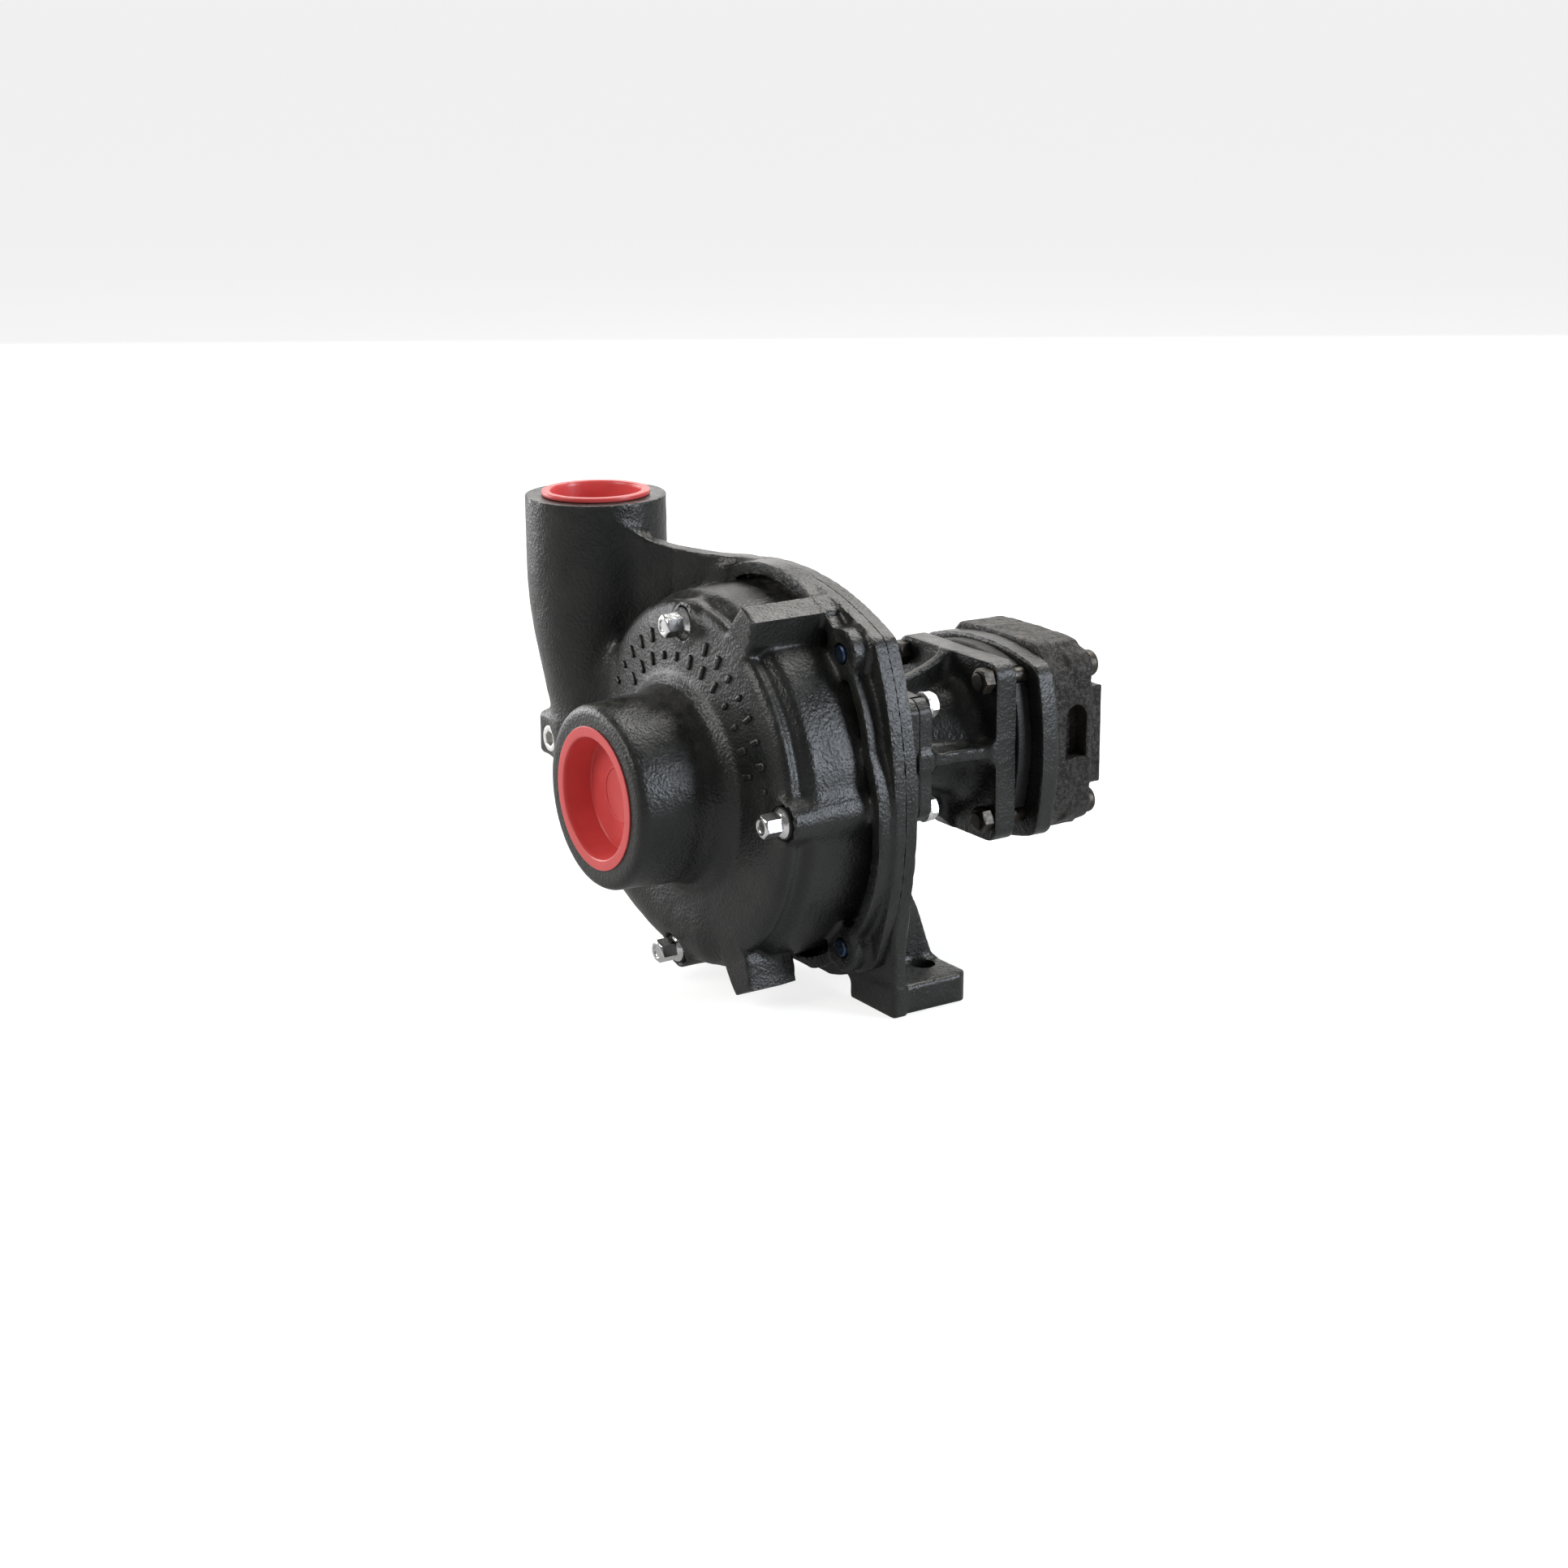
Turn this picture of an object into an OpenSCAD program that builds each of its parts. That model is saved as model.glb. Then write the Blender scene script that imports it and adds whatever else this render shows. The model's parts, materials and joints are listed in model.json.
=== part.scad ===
// Centrifugal pump, flange mounted, driven by a hydraulic gear motor.
// +Z up, +Y from the pump to the motor, origin midway between the two foot holes on the base plane.
// The shaft lies along Y at x = 0, z = shaft_h. Angles round the shaft go from +X towards +Z.

/* [Stance] */
// Height of the shaft above the base
shaft_h = 98; // [94:0.5:104]
// Y of the suction port's face
suction_y = -132; // [-136:0.5:-130]
// Distance of each foot hole from the middle plane
foot_hole_x = 68; // [64:0.5:72]

/* [Ports] */
// Outer diameter of the suction nozzle at its face
suction_od = 84; // [80:0.5:86]
// Bore diameter of the suction port
suction_bore = 60; // [56:0.5:61]
// Outer diameter of the discharge nozzle at its face
discharge_od = 66.8; // [65:0.1:67]
// Bore diameter of the discharge port
discharge_bore = 48; // [44:0.5:49]
// Distance of the discharge port from the shaft, towards -X
discharge_x = 104; // [102:0.5:106]
// Height of the discharge port's face
discharge_z = 213.6; // [208:0.2:220]

/* [Volute] */
// Y of the volute's middle plane
volute_y = -70; // [-71:0.5:-69]
// Radius of the casing's barrel
barrel_r = 86; // [85:0.5:87]
// Tube radius where the volute leaves the barrel
tube_r0 = 16; // [15:0.5:17]
// Tube radius where the volute joins the discharge nozzle
tube_r1 = 27; // [26:0.5:28]
// Outer reach of the tube at the nozzle
reach1 = 118; // [116:0.5:119]
// Wall thickness of the casing
wall = 6; // [5.5:0.5:6.5]

/* [Impeller] */
// Diameter of the impeller
impeller_d = 124; // [118:1:125]
// Number of vanes
vanes = 6; // [5:1:7]

/* [Flanges] */
// Half width of the pump flange across its bulged sides
flange_half = 98.5; // [98:0.5:100]
// Half height of the pump flange across its bulged top
flange_half_z = 95; // [94:0.5:96]
// Radius of the trimmed flange corners
flange_corner_r = 111; // [110:0.5:112]
// Thickness of each flange plate
flange_t = 6; // [5.5:0.5:6.5]
// Radius of the lug bolt circle
lug_r = 96; // [95:0.5:97]

/* [Gears] */
// Number of teeth on each motor gear
teeth = 12; // [12:1:12]
// Module of the motor gears
gear_m = 2.2; // [2.1:0.05:2.2]

/* [Hidden] */
$fn = 96;

// Stations along Y, from the suction face to the motor's end
seat_y = -84;
rim_y = -80;
mouth_y = -37;
joint_y = mouth_y + flange_t;
plate_y = joint_y + flange_t;
spigot_y = -46;
seal_y = -31.5;
hub_y = 20;
adapter_y = 27.5;
bell_y = 61;
motor_y = 73;
housing_y = 81;
cover_y = 91;
end_y = 116;
band_y = 125;

// Radii and sizes shared by neighbours
spigot_r = 82;
shaft_r = 10;
tail_r = 8;
race_r = 23.5;
screw_places = [[0.5, 74], [81, 0.8], [-11, -83]];
lug_angles = [45, 135, 225, 315];
motor_bolt_x = 34;
motor_bolt_z = 34;
adapter_bolt_x = 27.5;
adapter_bolt_z = 25;
idler_z = shaft_h - gear_m * teeth;
foot_t = 13.5;
arch_h = 9;
adapter_drop = 1.5;
housing_drop = 2.3;
eye_r = 27;
plug_x = -105;
plug_z = shaft_h - 1.4;
plate_t = 1.2;
run_gap = 0.05;
bush_t = 5;

// A cylinder or cone on the shaft's line from y0 to y1
module turned(y0, y1, r0, r1) {
    translate([0, y0, shaft_h])
        rotate([-90, 0, 0])
            cylinder(h = y1 - y0, r1 = r0, r2 = is_undef(r1) ? r0 : r1);
}

// The same on any line parallel to Y
module turned_at(x, z, y0, y1, r0, r1) {
    translate([x, 0, z - shaft_h])
        turned(y0, y1, r0, r1);
}

// A ring on a line parallel to Y
module ring_at(x, z, y0, y1, r_out, r_in) {
    difference() {
        turned_at(x, z, y0, y1, r_out);
        turned_at(x, z, y0 - 1, y1 + 1, r_in);
    }
}

// A profile of points [radius, y] turned about the shaft
module lathe(points) {
    translate([0, 0, shaft_h])
        rotate([90, 0, 0])
            rotate_extrude()
                polygon([for (p = points) [p[0], -p[1]]]);
}

// A flat shape in X and Z carried from y0 to y1
module slab(y0, y1) {
    translate([0, y1, shaft_h])
        rotate([90, 0, 0])
            linear_extrude(y1 - y0)
                children();
}

// A plate with four bulged sides: bulge_r is the sides' radius, corner_r trims the corners
module bulged_plate(y0, y1, half_x, half_z, bulge_r, corner_r) {
    intersection() {
        turned(y0, y1, corner_r);
        turned_at(half_x - bulge_r, shaft_h, y0, y1, bulge_r);
        turned_at(bulge_r - half_x, shaft_h, y0, y1, bulge_r);
        turned_at(0, shaft_h + half_z - bulge_r, y0, y1, bulge_r);
        turned_at(0, shaft_h + bulge_r - half_z, y0, y1, bulge_r);
    }
}

// Children placed at radius r and angle a round the shaft
module around(angles, r) {
    for (a = angles)
        translate([r * cos(a), 0, r * sin(a)])
            children();
}

// Children placed at each front screw
module at_screws() {
    for (p = screw_places)
        translate([p[0], 0, p[1]])
            children();
}

// A hexagonal bar along Y, across = distance between flats
module hex_bar(y0, y1, across) {
    translate([0, y0, shaft_h])
        rotate([-90, 0, 0])
            cylinder(h = y1 - y0, r = across / sqrt(3), $fn = 6);
}

// Volute: from the angle where the tube leaves the barrel its radius and reach grow step by step
tube_start = -84;
sweep = 96;
steps = 6;
function tube_r(k) = tube_r0 + (tube_r1 - tube_r0) * (k + 0.5) / steps;
function reach(k) = barrel_r + 1.5 + (reach1 - barrel_r - 1.5) * pow((k + 0.5) / steps, 1.8);

module tube_ring(k, shrink) {
    step = sweep / steps;
    start = tube_start - (k + 1) * step;
    translate([0, volute_y, shaft_h])
        rotate([90, 0, 0])
            rotate([0, 0, start - 0.5])
                rotate_extrude(angle = step + 1)
                    translate([reach(k) - tube_r(k), 0])
                        circle(r = tube_r(k) - shrink);
}

// Discharge neck: a leaning cone from the tube's end, and an upright collar that flares out of it
neck_x = reach1 - tube_r1;
neck_z = shaft_h - 4;
collar = 52;
flare = 20;
neck_top = discharge_z - collar;
lean = atan2(discharge_x - neck_x, neck_top - neck_z);

module discharge_neck(shrink) {
    top_r = discharge_od / 2 - shrink;
    translate([-neck_x, volute_y, neck_z])
        rotate([0, -lean, 0])
            cylinder(h = (neck_top - neck_z) / cos(lean) + 1, r1 = tube_r1 - shrink, r2 = top_r - 0.8);
    translate([-discharge_x, volute_y, neck_top])
        rotate_extrude()
            polygon([[0, -flare], [top_r - 7.4, -flare], [top_r, 0], [top_r, collar], [0, collar]]);
}

// Pad that runs along the casing at angle a, out to radius r
module casing_pad(a, r) {
    slab(-82, -41)
        rotate(a)
            polygon([[78, -8], [r - 14, -8], [r, -5.7], [r, 5.7], [r - 14, 8], [78, 8]]);
}

module casing_outer() {
    nozzle_r = suction_od / 2;
    lathe([[0, suction_y], [nozzle_r - 3.2, suction_y], [nozzle_r - 1, suction_y + 0.9],
        [nozzle_r, suction_y + 3], [nozzle_r + 1.5, -100], [nozzle_r + 3.5, -92], [nozzle_r + 9, -86.8],
        [74, rim_y - 3.5], [82, rim_y - 1.5], [86, rim_y + 2], [86.5, rim_y + 5],
        [81, rim_y + 7.5], [81, rim_y + 9], [84, rim_y + 11], [barrel_r, rim_y + 14],
        [barrel_r, -56], [84, -52], [84, spigot_y], [0, spigot_y]]);
    for (k = [0 : steps - 1])
        tube_ring(k, 0);
    discharge_neck(0);
    turned(-50, mouth_y, 90);
    bulged_plate(mouth_y, joint_y, flange_half, flange_half_z, 180, flange_corner_r);
    at_screws()
        turned(seat_y, mouth_y, 9.5);
    around(lug_angles, lug_r)
        turned(-44, mouth_y, 12);
    casing_pad(60, 100);
    casing_pad(-62, 97);
    translate([-117, -98, shaft_h - 11])
        cube([20, 24, 21.5]);
    slab(-66, -48)
        polygon([[-80, 60], [-20, 60], [-20, 90], [-39, 92], [-61, 93], [-80, 97]]);
}

module casing_cavity() {
    turned(suction_y - 1, -92, suction_bore / 2);
    turned(-93, rim_y, eye_r);
    turned(rim_y, spigot_y, impeller_d / 2 + 3);
    lathe([[0, -74], [74, -74], [barrel_r - wall, -66], [barrel_r - wall, -56], [76, -50], [0, -50]]);
    for (k = [0 : steps - 1])
        tube_ring(k, wall);
    turned(spigot_y - 0.5, 0, spigot_r + run_gap);
    discharge_neck(wall + 4);
    translate([-discharge_x, volute_y, discharge_z - 26])
        cylinder(h = 27, r = discharge_bore / 2);
}

module casing() {
    color([0.06, 0.06, 0.065])
        difference() {
            union() {
                difference() {
                    casing_outer();
                    casing_cavity();
                }
                at_screws()
                    turned(seat_y + 1, spigot_y - 1, 8.6);
            }
            at_screws() {
                turned(seat_y - 12, seat_y + 1.2, 7.6);
                turned(seat_y, seat_y + 24, 4);
            }
            around(lug_angles, lug_r)
                turned(-50, 0, 5.5);
            turned_at(plug_x, plug_z, -99, -88, 6.5);
            translate([-110, mouth_y - 1, -3])
                cube([220, 20, 3 + arch_h]);
        }
}

// Foot: upright leg, pad with a hole, gusset
module foot() {
    translate([55, joint_y, 0])
        cube([34, flange_t, 60]);
    difference() {
        translate([55, joint_y, 0])
            cube([33, 42.5, foot_t]);
        translate([88, joint_y + 42.5, -1])
            rotate([0, 0, 45])
                cube([8, 8, 2 * foot_t + 2], center = true);
    }
    translate([82, 0, 0])
        rotate([90, 0, 90])
            linear_extrude(6)
                polygon([[plate_y - 1, foot_t - 1], [-9, foot_t - 1], [-9, foot_t + 3], [plate_y, 68],
                    [plate_y - 1, 68]]);
}

module mounting_flange() {
    color([0.06, 0.06, 0.065])
        difference() {
            union() {
                difference() {
                    bulged_plate(joint_y, plate_y, flange_half, flange_half_z, 180, flange_corner_r);
                    translate([-55, joint_y - 1, -5])
                        cube([110, flange_t + 2, 5 + arch_h]);
                }
                turned(spigot_y, joint_y, spigot_r);
                turned(plate_y - 1, 12, 40, 32);
                turned(0, hub_y, 32);
                slab(13, hub_y)
                    difference() {
                        square([72, 60], center = true);
                        for (sx = [-1, 1], sz = [-1, 1])
                            translate([sx * 36, sz * 30])
                                rotate(45)
                                    square(7, center = true);
                    }
                foot();
                mirror([1, 0, 0])
                    foot();
            }
            turned(spigot_y - 1, -34, 31);
            turned(-35, -28, 21);
            turned(-29, -12, 14);
            turned(-19, -2, 24);
            turned(-3, 12, race_r + 0.02);
            turned(11.5, 14, 25.2);
            turned(13, hub_y + 1, race_r + 0.5);
            translate([0, -10.5, 40])
                cylinder(h = 50, r = 5);
            around(lug_angles, lug_r) {
                turned(joint_y - 1, plate_y + 1, 5.5);
                sunk_head(5.3, 9.38, 4.6);
            }
            for (sx = [-1, 1], sz = [-1, 1])
                turned_at(sx * adapter_bolt_x, shaft_h + sz * adapter_bolt_z, 12, hub_y + 1, 4);
            for (sx = [-1, 1])
                translate([sx * foot_hole_x, 0, -1])
                    cylinder(h = foot_t + 2, r = 5.5);
            difference() {
                turned(-41, -37.5, spigot_r + 1);
                turned(-42, -36, spigot_r - 2.6);
            }
        }
}

module casing_oring() {
    color([0.05, 0.05, 0.05])
        translate([0, -39.25, shaft_h])
            rotate([90, 0, 0])
                rotate_extrude()
                    translate([spigot_r - 1.3, 0])
                        circle(r = 1.3, $fn = 24);
}

// Push-in cap: open cup with a lip, its mouth towards the outside
module port_cap(r, depth, lip_r, lip_t) {
    difference() {
        union() {
            translate([0, 0, -depth])
                cylinder(h = depth, r1 = r - 1.2, r2 = r);
            cylinder(h = lip_t, r = lip_r);
        }
        translate([0, 0, 2 - depth])
            cylinder(h = depth + lip_t, r1 = r - 3.4, r2 = r - 2);
    }
}

module suction_cap() {
    color([0.85, 0.1, 0.12])
        translate([0, suction_y, shaft_h])
            rotate([90, 0, 0])
                port_cap(suction_bore / 2 - 0.3, 15, 32.8, 0.8);
}

module discharge_cap() {
    color([0.85, 0.1, 0.12])
        translate([-discharge_x, volute_y, discharge_z])
            port_cap(discharge_bore / 2 - 0.3, 20, 25.9, 2.2);
}

module front_screws() {
    color([0.8, 0.8, 0.82])
        at_screws() {
            turned(seat_y - 1.3, seat_y + 22, 3.95);
            turned(seat_y - 2.6, seat_y - 1, 7);
            hex_bar(seat_y - 11.5, seat_y - 2.4, 9.5);
        }
}

module front_washers() {
    color([0.08, 0.08, 0.08])
        at_screws()
            ring_at(0, shaft_h, seat_y - 1, seat_y + 1.2, 7.4, 4.2);
}

// Cone of a flat screw head, flush with the back of the mounting flange
module sunk_head(r0, r1, h) {
    translate([0, plate_y - 4.4, shaft_h])
        rotate([-90, 0, 0])
            cylinder(h = h, r1 = r0, r2 = r1);
}

module flange_bolts() {
    color([0.35, 0.4, 0.48])
        around(lug_angles, lug_r)
            difference() {
                union() {
                    turned(-46, plate_y - 4, 5);
                    sunk_head(5, 8.9, 4.4);
                }
                hex_bar(plate_y - 3, plate_y + 1, 6);
            }
}

module vent_plug() {
    color([0.7, 0.7, 0.7])
        difference() {
            turned_at(plug_x, plug_z, -98.4, -88, 6.5);
            translate([plug_x, 0, plug_z - shaft_h])
                hex_bar(-99, -93, 6.4);
        }
}

// Open bell: front flange, hub cone, four ribs, rear flange
module motor_adapter() {
    color([0.06, 0.06, 0.065])
        difference() {
            union() {
                slab(hub_y, adapter_y)
                    difference() {
                        square([72, 60], center = true);
                        for (sx = [-1, 1], sz = [-1, 1])
                            translate([sx * 36, sz * 30])
                                rotate(45)
                                    square(7, center = true);
                    }
                turned(adapter_y - 1, bell_y + 1, 17, 29);
                slab(adapter_y - 1, bell_y + 1)
                    union() {
                        square([80, 6], center = true);
                        square([6, 82], center = true);
                    }
                slab(bell_y, motor_y)
                    translate([0, -adapter_drop])
                        difference() {
                            square([81, 88], center = true);
                            for (sx = [-1, 1], sz = [-1, 1])
                                translate([sx * 40.5, sz * 44])
                                    rotate(45)
                                        square(6, center = true);
                        }
                turned(hub_y - 4, hub_y + 1, race_r + 0.4);
            }
            turned(hub_y - 5, motor_y + 1, 13);
            turned(58, motor_y + 1, race_r + 0.02);
            for (sx = [-1, 1], sz = [-1, 1]) {
                turned_at(sx * adapter_bolt_x, shaft_h + sz * adapter_bolt_z, hub_y - 1, 36, 4.3);
                turned_at(sx * motor_bolt_x, shaft_h + sz * motor_bolt_z, bell_y - 1, motor_y + 1, 4.3);
            }
        }
}

module adapter_bolts() {
    color([0.45, 0.45, 0.47])
        for (sx = [-1, 1], sz = [-1, 1])
            translate([sx * adapter_bolt_x, 0, sz * adapter_bolt_z]) {
                turned(9.5, adapter_y + 2.5, 4);
                hex_bar(adapter_y + 2, adapter_y + 7.5, 11.5);
            }
}

module adapter_washers() {
    color([0.5, 0.5, 0.5])
        for (sx = [-1, 1], sz = [-1, 1])
            ring_at(sx * adapter_bolt_x, shaft_h + sz * adapter_bolt_z, adapter_y, adapter_y + 2, 6.5, 4.2);
}

// Bores of the motor body for the four through bolts
module motor_bolt_bores(y0, y1) {
    for (sx = [-1, 1], sz = [-1, 1])
        turned_at(sx * motor_bolt_x, shaft_h + sz * motor_bolt_z, y0 - 1, y1 + 1, 4.3);
}

// Bores for the dowel pins, beside the bolts
module dowel_bores(y0, y1) {
    for (s = [-1, 1])
        turned_at(s * 37, shaft_h - s * 12, y0, y1, 3);
}

module front_plate() {
    color([0.05, 0.05, 0.055])
        difference() {
            bulged_plate(motor_y, housing_y, 42, 43.5, 102, 54);
            motor_bolt_bores(motor_y, housing_y);
            dowel_bores(housing_y - 5, housing_y + 1);
            turned(motor_y - 1, motor_y + 3, 16);
            turned(motor_y, housing_y + 1, tail_r + 1);
            for (z = [shaft_h, idler_z])
                turned_at(0, z, housing_y - bush_t, housing_y + 1, 11);
        }
}

module gear_housing() {
    color([0.06, 0.06, 0.065])
        difference() {
            translate([0, 0, -housing_drop])
                bulged_plate(housing_y, cover_y, 50.5, 47.8, 150, 62);
            motor_bolt_bores(housing_y, cover_y);
            dowel_bores(housing_y - 1, cover_y + 1);
            for (z = [shaft_h, idler_z])
                turned_at(0, z, housing_y - 1, cover_y + 1, tip_r + 0.15);
            translate([-20.5, housing_y - 1, shaft_h - 18])
                cube([41, cover_y - housing_y + 2, 13]);
            for (y = [housing_y, cover_y])
                oring_groove(y);
        }
}

// Rectangular seal groove round both gear bores, on the face at y
module oring_groove(y) {
    slab(y - 1.2, y + 1.2)
        difference() {
            translate([0, -gear_m * teeth / 2])
                square([58, 66], center = true);
            translate([0, -gear_m * teeth / 2])
                square([53, 61], center = true);
        }
}

module body_oring(y) {
    slab(y, y + 1.1)
        difference() {
            translate([0, -gear_m * teeth / 2])
                square([57.6, 65.6], center = true);
            translate([0, -gear_m * teeth / 2])
                square([53.4, 61.4], center = true);
        }
}

module body_oring_front() {
    color([0.05, 0.05, 0.05])
        body_oring(housing_y);
}

module body_oring_rear() {
    color([0.05, 0.05, 0.05])
        body_oring(cover_y - 1.1);
}

module rear_cover() {
    color([0.09, 0.085, 0.08])
        difference() {
            union() {
                intersection() {
                    bulged_plate(cover_y, end_y, 46, 47.5, 160, 60);
                    translate([-43.5, cover_y, shaft_h - 47])
                        cube([87, end_y - cover_y, 94]);
                }
                translate([-40, end_y - 1, shaft_h - 24])
                    cube([80, band_y - end_y + 1, 48]);
            }
            motor_bolt_bores(cover_y, end_y);
            dowel_bores(cover_y - 1, cover_y + 6);
            translate([35, 103, shaft_h - 8])
                cube([10, 10.5, 26]);
            for (z = [shaft_h, idler_z])
                turned_at(0, z, cover_y - 1, cover_y + 9, 11);
            for (sx = [-1, 1]) {
                turned_at(sx * 22, shaft_h, 107, band_y + 1, 9);
                turned_at(sx * 17, shaft_h - 9, cover_y - 1, 109, 3.5);
            }
        }
}

module motor_bolts() {
    color([0.2, 0.2, 0.21])
        for (sx = [-1, 1], sz = [-1, 1])
            translate([sx * motor_bolt_x, 0, sz * motor_bolt_z]) {
                turned(bell_y - 7, end_y + 1, 4);
                difference() {
                    turned(end_y, end_y + 8, 6.5);
                    hex_bar(end_y + 4, end_y + 9, 6);
                }
            }
}

module motor_nuts() {
    color([0.3, 0.3, 0.3])
        for (sx = [-1, 1], sz = [-1, 1])
            translate([sx * motor_bolt_x, 0, sz * motor_bolt_z])
                difference() {
                    hex_bar(bell_y - 6, bell_y, 11);
                    turned(bell_y - 8, bell_y + 1, 4.05);
                }
}

// One backward-curved vane from the eye to the rim, as an arc strip
module vane() {
    difference() {
        translate([34, 0])
            circle(r = 34);
        translate([34, 0])
            circle(r = 30.5);
        translate([-80, -100])
            square([200, 100]);
        circle(r = 20);
    }
}

module impeller() {
    color([0.45, 0.47, 0.5])
        difference() {
            union() {
                lathe([[0, -54], [impeller_d / 2, -54], [impeller_d / 2, -50.5], [18, -50.5], [18, -50],
                    [0, -50]]);
                lathe([[0, -77], [11, -77], [14, -66], [24, -54.5], [24, -53], [0, -53]]);
                lathe([[23, -78.5], [26.6, -78.5], [26.6, -77], [36, -73], [impeller_d / 2, -68],
                    [impeller_d / 2, -65], [36, -70], [25, -74], [23, -76]]);
                intersection() {
                    for (k = [0 : vanes - 1])
                        translate([0, 0, shaft_h])
                            rotate([0, -360 * k / vanes, 0])
                                translate([0, 0, -shaft_h])
                                    slab(-76, -53)
                                        vane();
                    lathe([[12, -76], [25, -75], [36, -71.5], [impeller_d / 2, -66.5], [impeller_d / 2, -53],
                        [12, -53]]);
                }
            }
            turned(-80, -49, tail_r + 0.02);
            translate([-1.5, -74, shaft_h])
                cube([3, 26, 9.6]);
        }
}

module impeller_nut() {
    color([0.75, 0.75, 0.77])
        difference() {
            union() {
                turned(-79, -77, 10.5);
                hex_bar(-86, -78.5, 17);
            }
            turned(-84.2, -76, 6.02);
        }
}

module impeller_key() {
    color([0.6, 0.6, 0.62])
        translate([-1.5, -70, shaft_h + 5.5])
            cube([3, 16, 3.8]);
}

module pump_shaft() {
    color([0.7, 0.71, 0.73])
        difference() {
            union() {
                turned(-84, -76, 6);
                turned(-77, -49.5, tail_r);
                turned(-50, 73, shaft_r);
                turned(72, 99.5, tail_r);
            }
            translate([-1.5, -70, shaft_h + 5.5])
                cube([3, 16, 5]);
            translate([-1.5, housing_y + plate_t + 0.1, shaft_h + 5.5])
                cube([3, 7.4, 5]);
            difference() {
                turned(-4.4, -3, shaft_r + 1);
                turned(-5, -2, shaft_r - 0.9);
            }
        }
}

// Rotating half of the mechanical seal: rubber bellows and carbon ring
module seal_bellows() {
    color([0.06, 0.06, 0.06])
        lathe([[shaft_r, -50], [15, -50], [16.5, -48.5], [15, -47], [16.5, -45.5], [15, -44], [16.5, -42.5],
            [15, -41], [16.5, -39.5], [16.5, -37], [shaft_r, -37]]);
}

module seal_head() {
    color([0.2, 0.2, 0.22])
        lathe([[shaft_r, -37], [17.5, -37], [17.5, -34], [14, -33], [14, seal_y - run_gap],
            [shaft_r, seal_y - run_gap]]);
}

module seal_seat() {
    color([0.9, 0.88, 0.82])
        ring_at(0, shaft_h, seal_y, -28.5, 17.5, 11);
}

module seat_cup() {
    color([0.06, 0.06, 0.06])
        lathe([[17.5, seal_y], [21, seal_y], [21, -28], [14.5, -28], [14.5, -28.5], [17.5, -28.5]]);
}

module slinger() {
    color([0.08, 0.08, 0.08])
        lathe([[shaft_r, -15], [13, -15], [13, -12], [20, -11], [20, -9], [13, -10], [13, -8], [shaft_r, -8]]);
}

// Deep-groove bearing parts between y0 and y0 + 14
ball_r = 3.9;
ball_pcd = 33.5;
balls = 8;

module ball_track(y0) {
    translate([0, y0 + 7, shaft_h])
        rotate([90, 0, 0])
            rotate_extrude()
                translate([ball_pcd / 2, 0])
                    circle(r = ball_r + 0.1);
}

module race_outer(y0) {
    color([0.75, 0.76, 0.78])
        difference() {
            ring_at(0, shaft_h, y0, y0 + 14, race_r, 18.6);
            ball_track(y0);
        }
}

module race_inner(y0) {
    color([0.75, 0.76, 0.78])
        difference() {
            ring_at(0, shaft_h, y0, y0 + 14, 14.9, shaft_r);
            ball_track(y0);
        }
}

module ball_set(y0) {
    color([0.85, 0.85, 0.87])
        around([for (k = [0 : balls - 1]) 360 * k / balls], ball_pcd / 2)
            translate([0, y0 + 7, shaft_h])
                sphere(r = ball_r);
}

module front_race_outer() {
    race_outer(-3);
}

module front_race_inner() {
    race_inner(-3);
}

module front_balls() {
    ball_set(-3);
}

module rear_race_outer() {
    race_outer(58.5);
}

module rear_race_inner() {
    race_inner(58.5);
}

module rear_balls() {
    ball_set(58.5);
}

module hub_ring() {
    color([0.4, 0.4, 0.42])
        difference() {
            ring_at(0, shaft_h, 11.6, 13.2, 25, 20.5);
            translate([-6, 11, shaft_h - 30])
                cube([12, 3, 20]);
        }
}

module shaft_ring() {
    color([0.4, 0.4, 0.42])
        difference() {
            ring_at(0, shaft_h, -4.3, -3.1, 12.4, 9.1);
            translate([-2.5, -5, shaft_h - 20])
                cube([5, 3, 15]);
        }
}

module lip_seal() {
    color([0.15, 0.12, 0.1])
        lathe([[16, motor_y + 0.2], [16, motor_y + 2.8], [9, motor_y + 2.8], [tail_r + 0.05, motor_y + 2],
            [tail_r + 0.05, motor_y + 1.6], [9.5, motor_y + 0.7], [14, motor_y + 0.7], [14, motor_y + 0.2]]);
}

// Motor gears: straight-flanked teeth whose width shrinks from root to tip
pitch_r = gear_m * teeth / 2;
root_r = pitch_r - 1.15 * gear_m;
tip_r = pitch_r + 0.9 * gear_m;
function tooth_half(r) = 360 / teeth / 4 - 0.7 - (r - pitch_r) * 2.9;
tooth_steps = 4;
function flank(s) = [for (k = [0 : tooth_steps])
    let (j = s < 0 ? k : tooth_steps - k, r = root_r + (tip_r - root_r) * j / tooth_steps)
    [r, s * tooth_half(r)]];
function gear_points() = [for (t = [0 : teeth - 1]) each [for (p = concat(flank(-1), flank(1)))
    [p[0] * cos(p[1] + 360 * t / teeth), p[0] * sin(p[1] + 360 * t / teeth)]]];

module gear_body() {
    slab(housing_y + plate_t + run_gap, cover_y - plate_t - run_gap)
        polygon(gear_points());
}

module drive_gear() {
    color([0.6, 0.6, 0.62])
        difference() {
            gear_body();
            turned(housing_y - 1, cover_y + 1, tail_r + 0.02);
            translate([-1.5, housing_y - 1, shaft_h])
                cube([3, 14, 9.3]);
        }
}

module drive_key() {
    color([0.6, 0.6, 0.62])
        translate([-1.5, housing_y + plate_t + 0.2, shaft_h + 5.5])
            cube([3, 7.2, 3.7]);
}

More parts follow.
